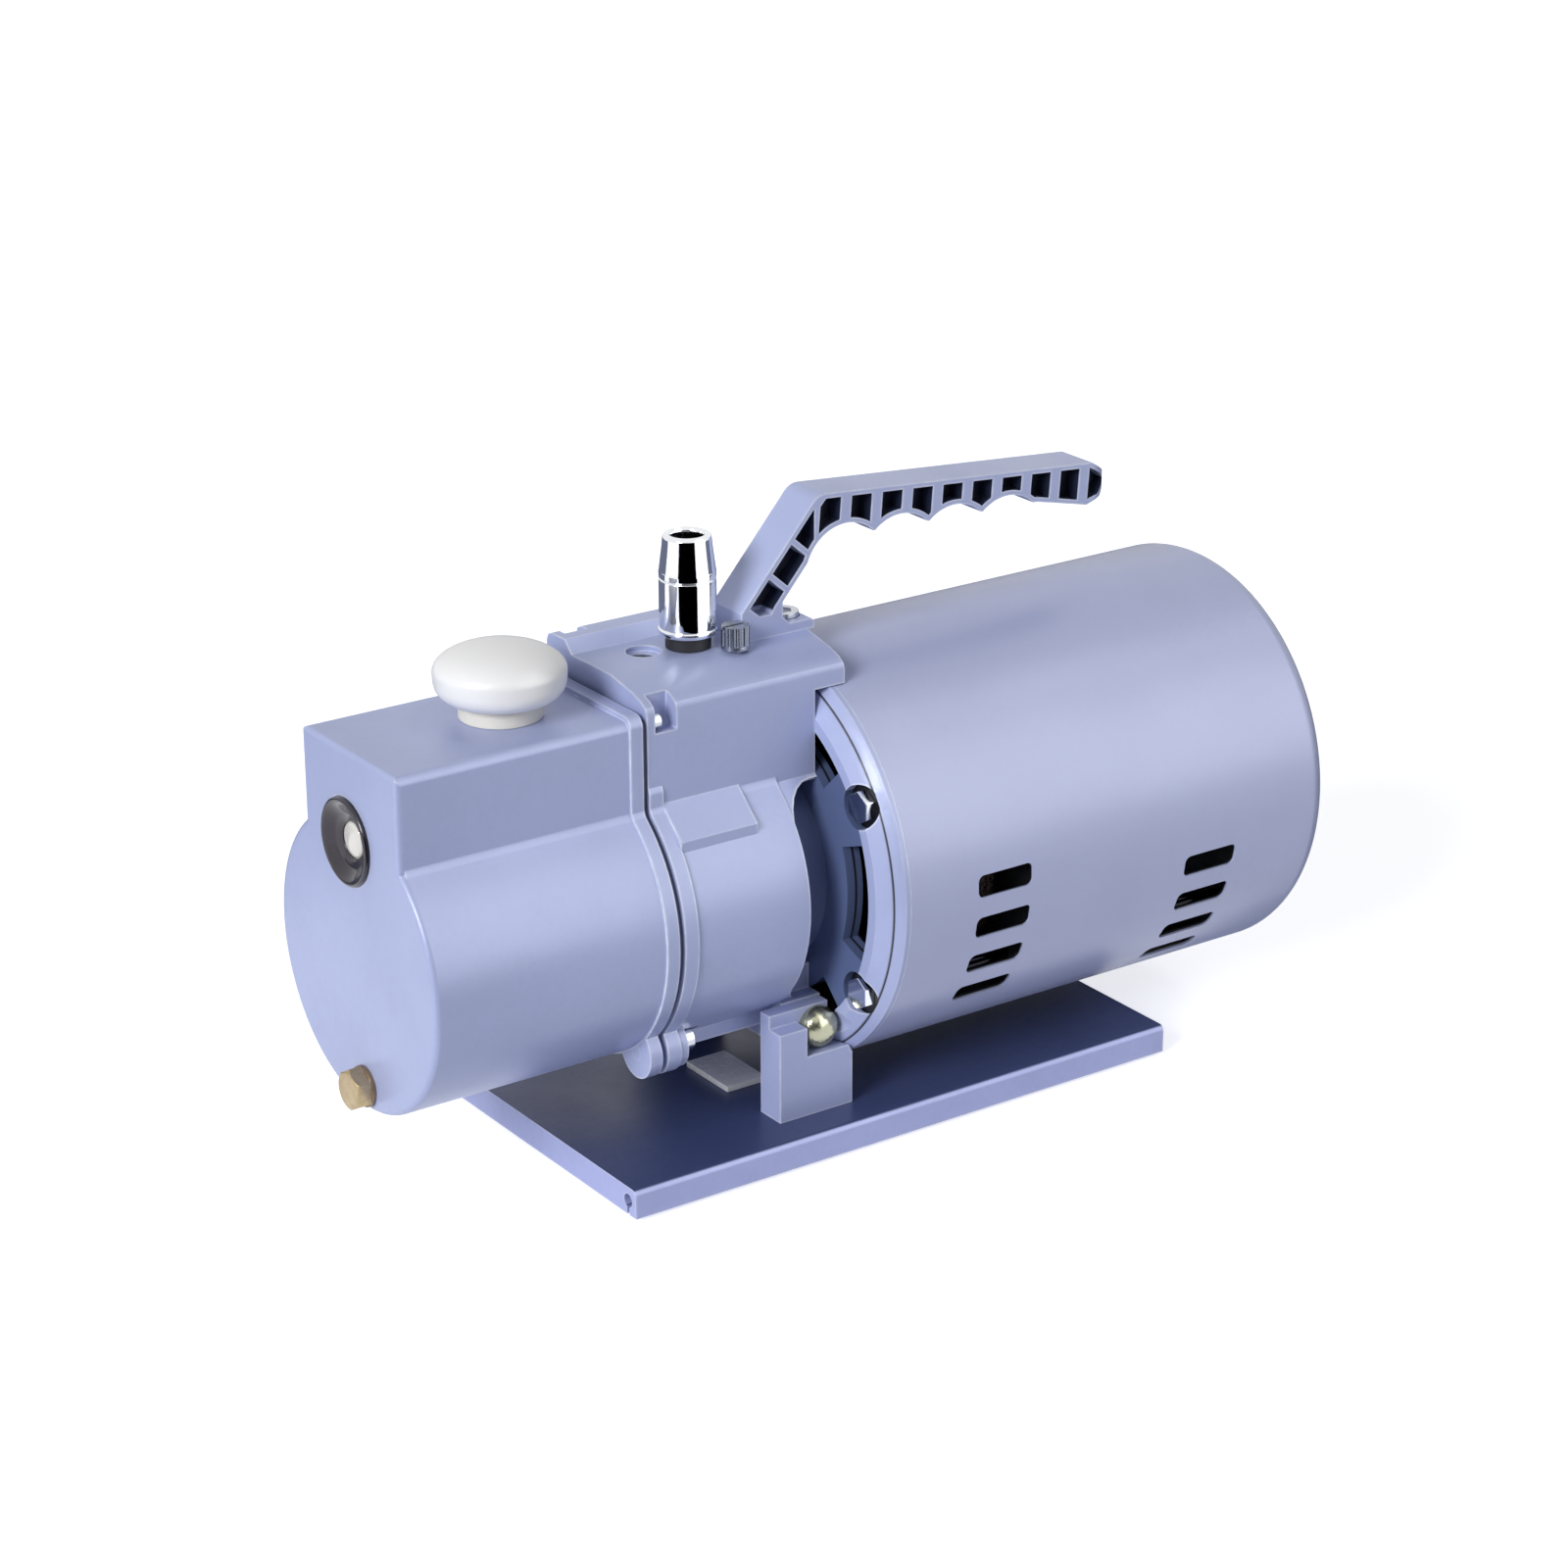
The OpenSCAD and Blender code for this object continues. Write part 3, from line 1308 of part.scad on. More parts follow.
rear_bearing_r = 16;
rear_journal_r = 6;
rear_bearing_w = 10;
rear_shield_t = 6;
x_rear_bearing = x_rear_shield - rear_bearing_w + 2;
fan_hub_len = 12;
fan_r = motor_r - 31;
x_fan = x_rear_shield + rear_shield_t + 1;

module motor_shaft() color("silver") place() {
    rod_x(x_motor_hub, x_rear_bearing - 2 - x_motor_hub, shaft_r - fit);
    rod_x(x_rear_bearing - 2 - eps, x_fan + fan_hub_len - x_rear_bearing + 2, rear_journal_r - fit);
}

module front_motor_bearing() color("silver") place()
    bearing(x_front_bearing, bearing_w, shaft_r + fit, bearing_r);

module rear_motor_bearing() color("silver") place()
    bearing(x_rear_bearing, rear_bearing_w, rear_journal_r + fit, rear_bearing_r);

module rear_shield() color("gray") place() difference() {
    union() {
        rod_x(x_rear_shield, rear_shield_t, stator_r);
        rod_x(x_rear_bearing, x_rear_shield - x_rear_bearing + eps, rear_bearing_r + 4);
        for (a = cover_screw_angles)
            rod_x(x_rear_shield, x_post_end - x_rear_shield, 4.5,
                cover_screw_circle * cos(a), cover_screw_circle * sin(a));
    }
    rod_x(x_rear_bearing - 1, rear_bearing_w + 1 + eps, rear_bearing_r + slip);
    rod_x(x_rear_bearing - 1, 40, rear_bearing_r - 4);
    for (a = [0:60:300])
        ring_window(x_rear_shield - 1, rear_shield_t + 2, rear_bearing_r + 8, fan_r, a + 10, a + 50);
    at_tie_bolts() rod_x(x_rear_shield - 1, rear_shield_t + 2, tie_r + slip);
    for (a = cover_screw_angles)
        rod_x(x_post_end - 9, 10, 2 + slip, cover_screw_circle * cos(a), cover_screw_circle * sin(a));
}

// Cooling fan: a hub, a thin disc and curved blades
blade_r = 30;

module cooling_fan() color("black") place() difference() {
    union() {
        rod_x(x_fan, fan_hub_len, 10);
        rod_x(x_fan, 1.6, fan_r);
        for (i = [0:8]) rotate([i * 40, 0, 0]) sweep_x(x_fan, fan_hub_len) intersection() {
            translate([0, blade_r]) difference() {
                circle(r = blade_r);
                circle(r = blade_r - 1.6);
            }
            translate([8.5, -1]) square([fan_r - 8.5, fan_r * 0.6]);
        }
    }
    rod_x(x_fan - 1, fan_hub_len + 6, rear_journal_r);
}

// Four long bolts clamp the shields and the core together.
module tie_bolts() color("silver") place() at_tie_bolts() {
    translate([x_shield + tie_floor - tie_head_h, 0, 0]) rotate([0, 90, 0])
        cylinder(h = tie_head_h, r = tie_head_flats / 2 / cos(30), $fn = 6);
    rod_x(x_shield + tie_floor - eps, x_rear_shield + rear_shield_t + 6 - x_shield - tie_floor, tie_r);
    translate([x_rear_shield + rear_shield_t, 0, 0]) rotate([0, 90, 0])
        cylinder(h = 4, r = tie_head_flats / 2 / cos(30), $fn = 6);
}

// Cable gland and power switch in the rear end
gland_z = motor_r - 17;
gland_thread_r = 5;

module cable_gland() color("black") place() difference() {
    union() {
        rod_x(x_rear - 9, 10, gland_thread_r, 0, -gland_z);
        rod_x(x_rear - cover_wall - 3, 3, gland_thread_r + 2.5, 0, -gland_z);
        translate([x_rear, 0, -gland_z]) rotate([0, 90, 0]) cylinder(h = gland_out, r = 8, $fn = 6);
    }
    rod_x(x_rear - 20, 40, 3.2, 0, -gland_z);
}

switch_z = motor_r - 18;
switch_w = 15;
switch_h = 21;
switch_deep = 14;
switch_flange = 1.5;

module switch_body() color("black") place() difference() {
    union() {
        translate([x_rear - switch_deep, -switch_w / 2, switch_z - switch_h / 2 + 4])
            cube([switch_deep, switch_w, switch_h - 4]);
        translate([x_rear, -switch_w / 2 - 1, switch_z - switch_h / 2 - 1])
            cube([switch_flange, switch_w + 2, switch_h + 2]);
    }
    translate([x_rear - switch_deep + 3, -switch_w / 2 + 1.5, switch_z - switch_h / 2 + 4])
        cube([switch_deep + 5, switch_w - 3, switch_h - 6]);
    rocker_pin(fit);
}

// Rocker with a shallow V face, tilted with its upper half out; it turns about a pin across the switch.
rocker_tilt = 7;
rocker_half = 6.8;
rocker_pin_r = 1.3;
rocker_pin_len = 13.8;

// The rocker's pin, or with grow the holes that it turns in
module rocker_pin(grow = 0) {
    translate([x_rear - 1.5, 0, switch_z + 1]) rotate([90, 0, 0])
        cylinder(h = rocker_pin_len + 4 * grow, r = rocker_pin_r + grow, center = true);
}

module switch_rocker() color("firebrick") place() {
    translate([x_rear - 1.5, 0, switch_z + 1]) sweep_y(switch_w - 3 - 2 * free_gap)
        rotate(-rocker_tilt) polygon([
            [-4, 0], [0, -rocker_half], [2.8, -rocker_half], [1.6, 0], [2.8, rocker_half], [0, rocker_half]
        ]);
    rocker_pin();
}

// Base plate: an extrusion with a screw channel along each edge
plate_edge_r = 2;
channel_r = 2.2;
channel_in = 4.5;
foot_pad_r = 8;
foot_pad_deep = 3;
strip_t = 2;
strip_w = 24;
strip_len = 15;
strip_y = -13.5;
block_front = 8;
block_len = 28;
block_nose = 10.5;
block_low_z = -53.4;
block_nose_z = -43.5;
block_lug_z = -39;
block_lug_t = 5;
x_block = x_neck - block_front;
foot_bolt_r = 4;
foot_bolt_z = -46.3;
foot_bolt_len = 18;
foot_head_r = 6.8;
y_foot_head = block_gap_half + block_lug_t;
x_foot_bolt = x_neck + 9.7;
block_screw_r = 3;
block_screw_in = 6;

module base_plate() color("lightsteelblue") place() difference() {
    half = base_w / 2;
    sweep_x(base_front, base_len) difference() {
        union() {
            translate([-half, plate_bottom]) square([base_w, base_t - plate_edge_r]);
            translate([-half + plate_edge_r, plate_bottom])
                square([base_w - 2 * plate_edge_r, base_t]);
            for (side = [-1, 1])
                translate([side * (half - plate_edge_r), plate_top - plate_edge_r])
                    circle(r = plate_edge_r);
        }
        for (side = [-1, 1]) {
            translate([side * (half - channel_in), plate_bottom + base_t / 2]) circle(r = channel_r);
            translate([side * (half - channel_in) - 0.6, plate_bottom - 1])
                square([1.2, base_t / 2 + 1]);
        }
    }
    // Counterbored holes of the block screws, and the pockets of the feet
    for (p = block_screw_places) translate([p[0], p[1], plate_bottom - 1]) {
        cylinder(h = base_t + 2, r = block_screw_r + slip);
        cylinder(h = 1 + 4.5, r = block_screw_r * 1.6 + free_gap);
    }
    for (p = base_foot_places) translate([p[0], p[1], plate_bottom - 1])
        cylinder(h = 1 + foot_pad_deep, r = foot_pad_r + slip);
}

block_mid_y = block_gap_half + block_t / 2;
block_screw_places = [
    for (dx = [block_screw_in, block_len - block_screw_in], side = [-1, 1])
        [x_block + dx, side * block_mid_y]
];
base_foot_places = [
    for (dx = [14, base_len - 14], side = [-1, 1]) [base_front + dx, side * (base_w / 2 - 18)]
];

module base_feet() color("dimgray") place() {
    for (p = base_foot_places) translate([p[0], p[1], -axis_h]) {
        cylinder(h = foot_out + foot_pad_deep, r = foot_pad_r);
    }
}

module base_strip() color("gainsboro") place()
    translate([x_neck - 9, strip_y, plate_top]) cube([strip_len, strip_w, strip_t]);

// A foot block: a tall nose in front, and a lug on the inner side for the bolt into the crossbar
module foot_block(side) {
    y0 = side > 0 ? block_gap_half : -block_gap_half - block_t;
    y_lug = side > 0 ? y0 : y0 + block_t - block_lug_t;
    difference() {
        union() {
            translate([x_block, y0, plate_top]) cube([block_len, block_t, block_low_z - plate_top]);
            translate([x_block, y0, plate_top]) cube([block_nose, block_t, block_nose_z - plate_top]);
            translate([x_block, y_lug, plate_top])
                cube([block_len - 5, block_lug_t, block_lug_z - plate_top]);
        }
        rotate([90, 0, 90]) rotate_extrude($fn = 128) polygon([
            [0, x_shield - 0.5],
            [rim_flat_r, x_shield - 0.5],
            [motor_r + 0.8, x_shield + 4.6],
            [motor_r + 0.8, x_shield + 60],
            [0, x_shield + 60]
        ]);
        translate([x_foot_bolt, side * (block_gap_half - 1), foot_bolt_z]) rotate([-side * 90, 0, 0])
            cylinder(h = 30, r = foot_bolt_r + slip);
        for (dx = [block_screw_in, block_len - block_screw_in])
            translate([x_block + dx, side * block_mid_y, plate_top - 1])
                cylinder(h = 13, r = block_screw_r + slip);
    }
}

module foot_blocks() color("lightsteelblue") place() {
    foot_block(-1);
    foot_block(1);
}

module foot_block_screws() color("silver") place() {
    for (p = block_screw_places) translate([p[0], p[1], plate_bottom + 0.5]) {
        cylinder(h = 4, r = block_screw_r * 1.6);
        cylinder(h = base_t + 9, r = block_screw_r);
    }
}

module foot_bolts() color("darkkhaki") place() {
    for (side = [-1, 1])
        translate([x_foot_bolt, side * y_foot_head, foot_bolt_z]) rotate([-side * 90, 0, 0]) {
            rotate_extrude() polygon([
                [0, 0], [foot_head_r, 0], [foot_head_r, 2.2], [foot_head_r - 0.8, 4.2],
                [foot_head_r - 2.4, 5.6], [foot_head_r - 4.4, 6.4], [0, 6.7]
            ]);
            translate([0, 0, -foot_bolt_len]) cylinder(h = foot_bolt_len + eps, r = foot_bolt_r);
        }
}

base_plate();
base_feet();
base_strip();
foot_blocks();
foot_block_screws();
foot_bolts();
oil_case();
case_gasket();
case_screws();
sight_glass_bezel();
sight_glass_lens();
sight_glass_seal();
drain_plug();
drain_washer();
exhaust_port();
exhaust_cap();
exhaust_filter();
pump_housing();
front_plate();
pump_cylinder();
rear_plate();
cylinder_screws();
pump_rotor();
vane_a();
vane_b();
vane_springs();
pump_bushes();
pump_bearing();
shaft_seal();
exhaust_reed();
reed_stop();
reed_screws();
inlet_nipple();
nipple_seal();
inlet_strainer();
channel_plug();
ballast_knob();
handle();
handle_bolt();
pump_coupling_hub();
pump_hub_screw();
coupling_spider();
motor_coupling_hub();
motor_hub_screw();
bracket_screws();
front_shield();
motor_cover();
cover_screws();
stator_core();
windings();
rotor_core();
motor_shaft();
front_motor_bearing();
rear_motor_bearing();
rear_shield();
cooling_fan();
tie_bolts();
cable_gland();
switch_body();
switch_rocker();
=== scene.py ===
"""Looks of a direct-drive, oil-sealed rotary vane vacuum pump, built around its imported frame.

Castings and turned pieces are rebuilt from their frame nodes with rounded edges, small pieces
are modelled with bmesh, and every surface gets a procedural finish on Object coordinates.
"""

import json
import logging
import math
from dataclasses import dataclass, replace
from enum import Enum
from typing import Any, Iterable

import bmesh
import bpy
from mathutils import Matrix, Vector


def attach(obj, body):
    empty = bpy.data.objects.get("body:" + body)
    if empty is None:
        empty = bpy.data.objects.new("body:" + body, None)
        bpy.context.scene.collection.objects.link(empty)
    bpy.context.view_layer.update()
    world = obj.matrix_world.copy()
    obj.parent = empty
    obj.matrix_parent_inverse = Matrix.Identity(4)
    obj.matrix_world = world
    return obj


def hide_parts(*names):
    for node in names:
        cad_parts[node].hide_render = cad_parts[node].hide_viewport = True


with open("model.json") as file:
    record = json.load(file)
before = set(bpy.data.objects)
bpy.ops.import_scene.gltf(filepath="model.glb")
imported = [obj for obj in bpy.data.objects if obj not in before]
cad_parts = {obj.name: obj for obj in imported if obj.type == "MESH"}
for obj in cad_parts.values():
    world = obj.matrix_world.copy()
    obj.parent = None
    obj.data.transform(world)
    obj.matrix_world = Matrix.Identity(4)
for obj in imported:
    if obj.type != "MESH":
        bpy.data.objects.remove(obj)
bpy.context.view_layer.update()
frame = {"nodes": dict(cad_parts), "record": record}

log = logging.getLogger("vacuum_pump")

MM = 0.001
# Where the shaft's line meets the plane of the oil case's face, and the line's height alone
SHAFT_SHIFT = Vector((-0.1635, 0.0, 0.085))
SHAFT_LINE = Vector((0.0, 0.0, 0.085))
FULL_TURN = 2 * math.pi
UP = Vector((0.0, 0.0, 1.0))
ALONG = Vector((1.0, 0.0, 0.0))
ACROSS = Vector((0.0, 1.0, 0.0))
# In degrees: how steeply the handle's stem rises, and how far faces that are joined may differ
STEM_ANGLE = 49.0
FLAT_ANGLE = 0.6

Colour = tuple[float, float, float]
Point = tuple[float, float]


def at(x: float, y: float, z: float) -> Vector:
    """Turns millimetres from the shaft axis and the oil case's face into the frame's metres."""
    return Vector((x, y, z)) * MM + SHAFT_SHIFT


def srgb(red: int, green: int, blue: int) -> Colour:
    """Turns a screen colour from 0 to 255 into linear light."""

    def linear(value: int) -> float:
        share = value / 255
        return share / 12.92 if share <= 0.04045 else ((share + 0.055) / 1.055) ** 2.4

    return linear(red), linear(green), linear(blue)


class Body(Enum):
    """The bodies of the frame that carry new pieces."""

    FRAME = "pump_frame"
    WORKS = "works_rotor"
    CAP = "breather_cap"
    BALLAST = "ballast_valve"
    ROCKER = "power_rocker"


class Sock:
    """A shader output that turns Python arithmetic into Math nodes."""

    def __init__(self, graph: "Graph", socket: bpy.types.NodeSocket) -> None:
        """Keeps the output and the graph that new nodes go into."""
        self.graph = graph
        self.socket = socket

    def _math(self, operation: str, *values: Any) -> "Sock":
        """Adds one Math node and returns its value."""
        return self.graph.out("ShaderNodeMath", {"operation": operation}, dict(enumerate(values)))

    def __add__(self, other: Any) -> "Sock":
        """Adds."""
        return self._math("ADD", self, other)

    __radd__ = __add__

    def __sub__(self, other: Any) -> "Sock":
        """Subtracts."""
        return self._math("SUBTRACT", self, other)

    def __rsub__(self, other: Any) -> "Sock":
        """Subtracts from a number."""
        return self._math("SUBTRACT", other, self)

    def __mul__(self, other: Any) -> "Sock":
        """Multiplies."""
        return self._math("MULTIPLY", self, other)

    __rmul__ = __mul__

    def __pow__(self, other: Any) -> "Sock":
        """Raises to a power."""
        return self._math("POWER", self, other)

    def above(self, low: float, high: float) -> "Sock":
        """A soft step from 0 at low to 1 at high.

        Args:
            low: Value where the step starts.
            high: Value where the step is full.

        Returns:
            The step's value, from 0 to 1.
        """
        return self.graph.out(
            "ShaderNodeMapRange",
            {"interpolation_type": "SMOOTHSTEP", "clamp": True},
            {"Value": self, "From Min": low, "From Max": high, "To Min": 0.0, "To Max": 1.0},
        )

    def beyond(self, place: float, soft: float) -> "Sock":
        """A step at a place along a length in metres.

        Args:
            place: Place of the step, in millimetres.
            soft: Half of the step's width, in millimetres.

        Returns:
            0 before the place and 1 beyond it.
        """
        return self.above((place - soft) * MM, (place + soft) * MM)


class Graph:
    """A node tree that is filled by one method for all kinds of node."""

    def __init__(self, tree: bpy.types.NodeTree) -> None:
        """Empties the tree."""
        self.tree = tree
        tree.nodes.clear()

    def node(self, kind: str, settings: dict[str, Any], inputs: dict[Any, Any]) -> bpy.types.Node:
        """Adds one node.

        Args:
            kind: Blender's node type.
            settings: Attributes that are set first, such as an operation.
            inputs: Socket names or numbers, with their values or links.

        Returns:
            The new node.
        """
        new = self.tree.nodes.new(kind)
        for name, value in settings.items():
            setattr(new, name, value)
        for key, value in inputs.items():
            target = new.inputs[key]
            if isinstance(value, Sock):
                self.tree.links.new(value.socket, target)
            elif isinstance(value, tuple) and len(value) == 3 and target.type == "RGBA":
                target.default_value = (*value, 1.0)
            else:
                target.default_value = value
        return new

    def out(self, kind: str, settings: dict[str, Any], inputs: dict[Any, Any], key: Any = 0) -> Sock:
        """Adds one node and returns one of its outputs."""
        return Sock(self, self.node(kind, settings, inputs).outputs[key])

    def coords(self, scale: tuple[float, float, float] = (1.0, 1.0, 1.0),
               centre: Vector | None = None) -> Sock:
        """Object coordinates in metres, moved and stretched.

        Args:
            scale: Stretch along each axis.
            centre: Point of the object that becomes the origin.

        Returns:
            The vector output.
        """
        place = self.out("ShaderNodeTexCoord", {}, {}, "Object")
        shift = Vector((0.0, 0.0, 0.0)) if centre is None else -centre
        moved = self.out("ShaderNodeMapping", {}, {"Vector": place, "Location": shift})
        return self.out("ShaderNodeMapping", {}, {"Vector": moved, "Scale": scale})

    def axes(self, vector: Sock) -> tuple[Sock, Sock, Sock]:
        """The three values of a vector."""
        parts = self.node("ShaderNodeSeparateXYZ", {}, {"Vector": vector}).outputs
        return Sock(self, parts[0]), Sock(self, parts[1]), Sock(self, parts[2])

    def facing(self) -> Sock:
        """The direction that a surface faces."""
        return self.out("ShaderNodeNewGeometry", {}, {}, "Normal")

    def noise(self, place: Sock, scale: float, detail: float, rough: float = 0.55) -> Sock:
        """A noise value from 0 to 1."""
        inputs = {"Vector": place, "Scale": scale, "Detail": detail, "Roughness": rough}
        return self.out("ShaderNodeTexNoise", {}, inputs)

    def cells(self, place: Sock, scale: float) -> Sock:
        """Distance to the nearest of scattered points, for grains and pits."""
        return self.out("ShaderNodeTexVoronoi", {}, {"Vector": place, "Scale": scale}, "Distance")

    def mix(self, share: Sock | float, first: Any, second: Any) -> Sock:
        """Mixes two colours."""
        return self.out(
            "ShaderNodeMix", {"data_type": "RGBA"}, {0: share, 6: first, 7: second}, 2
        )

    def bump(self, height: Sock, depth: float, strength: float, under: Sock | None = None) -> Sock:
        """Turns a height from 0 to 1 into a surface normal.

        Args:
            height: The height.
            depth: Real depth of the relief in metres.
            strength: Share of the relief that is used.
            under: Normal that the relief lies on.

        Returns:
            The normal.
        """
        inputs: dict[Any, Any] = {"Height": height, "Distance": depth, "Strength": strength}
        if under is not None:
            inputs["Normal"] = under
        return self.out("ShaderNodeBump", {}, inputs)


def new_material(name: str) -> tuple[bpy.types.Material, Graph]:
    """Makes a material and the empty graph of its nodes."""
    material = bpy.data.materials.new(name)
    material.use_nodes = True
    return material, Graph(material.node_tree)


def new_item(name: str, shape: bmesh.types.BMesh, material: bpy.types.Material) -> bpy.types.Object:
    """Turns a bmesh into an object of the scene, and frees the bmesh."""
    mesh = bpy.data.meshes.new(name)
    shape.to_mesh(mesh)
    shape.free()
    mesh.materials.append(material)
    item = bpy.data.objects.new(name, mesh)
    bpy.context.scene.collection.objects.link(item)
    return item


class Grain(Enum):
    """How a surface was made, which sets its fine relief."""

    CAST = "cast under paint"
    SPRAYED = "sprayed sheet"
    DRAWN = "drawn along X"
    TURNED = "turned about an axis"
    GROUND = "ground"
    MOULDED = "moulded"
    LAMINATED = "stack of sheets"
    WOUND = "varnished wire"


@dataclass(frozen=True)
class PaintedShadeZone:
    """A part of a finish close to the shaft line where shade is painted into the colour.

    Attributes:
        start: Where it starts along the shaft, in millimetres from the oil case's face.
        end: Where it ends.
        radius: How far it reaches from the shaft line, in millimetres.
        colour: Linear colour of the painted shade.
    """

    start: float
    end: float
    radius: float
    colour: Colour

    def share(self, graph: Graph) -> Sock:
        """How much a point lies in the zone, from 0 to 1."""
        along, across, up = graph.axes(graph.coords(centre=SHAFT_SHIFT))
        soft = 0.2
        outside = ((across * across + up * up) ** 0.5).beyond(self.radius, soft)
        return (1 - outside) * along.beyond(self.start, soft) * (1 - along.beyond(self.end, soft))


@dataclass(frozen=True)
class Hollows:
    """The open pockets along the handle, whose walls and web get painted shade.

    Lengths are in millimetres and heights are above the shaft.

    Attributes:
        colour: Linear colour of the painted shade.
        along: Place of the corner between stem and grip along the shaft.
        up: Height of that corner.
        stem: Angle of the stem above the horizontal, in degrees.
        tilt: Downward tilt of the grip, in degrees.
        half: Half of the handle's width that still counts as inside.
        skin: Depth under the outer faces where the pockets start.
        low: Height where the stem's pockets start.
        foot: Height up to which the stem's back is upright.
        nose: Place along the shaft where the grip's nose starts.
    """

    colour: Colour
    along: float = 165.0
    up: float = 118.6
    stem: float = STEM_ANGLE
    tilt: float = 4.5
    half: float = 7.6
    skin: float = 1.45
    low: float = 84.0
    foot: float = 88.0
    nose: float = 274.2

    def share(self, graph: Graph) -> Sock:
        """How much a point lies in a pocket, from 0 to 1."""
        along, across, up = graph.axes(graph.coords(centre=at(self.along, 0.0, self.up)))
        stem, tilt = math.radians(self.stem), math.radians(self.tilt)
        under_grip = (along * math.sin(tilt) + up * math.cos(tilt)) * -1.0
        under_stem = along * math.sin(stem) - up * math.cos(stem)
        deep = under_grip.beyond(self.skin, 0.12) * under_stem.beyond(self.skin, 0.12)
        beside = ((across * across) ** 0.5).beyond(self.half, 0.15)
        within = deep * (1 - beside) * up.beyond(self.low - self.up, 0.3)
        backwards, _, upwards = graph.axes(graph.facing())
        nose = along.beyond(self.nose - self.along, 0.3) * backwards.above(0.1, 0.3)
        heel = (1 - up.beyond(self.foot - self.up, 0.3)) * backwards.above(0.85, 0.95)
        return within * (1 - (nose + heel)) * upwards.above(-0.4, -0.2)


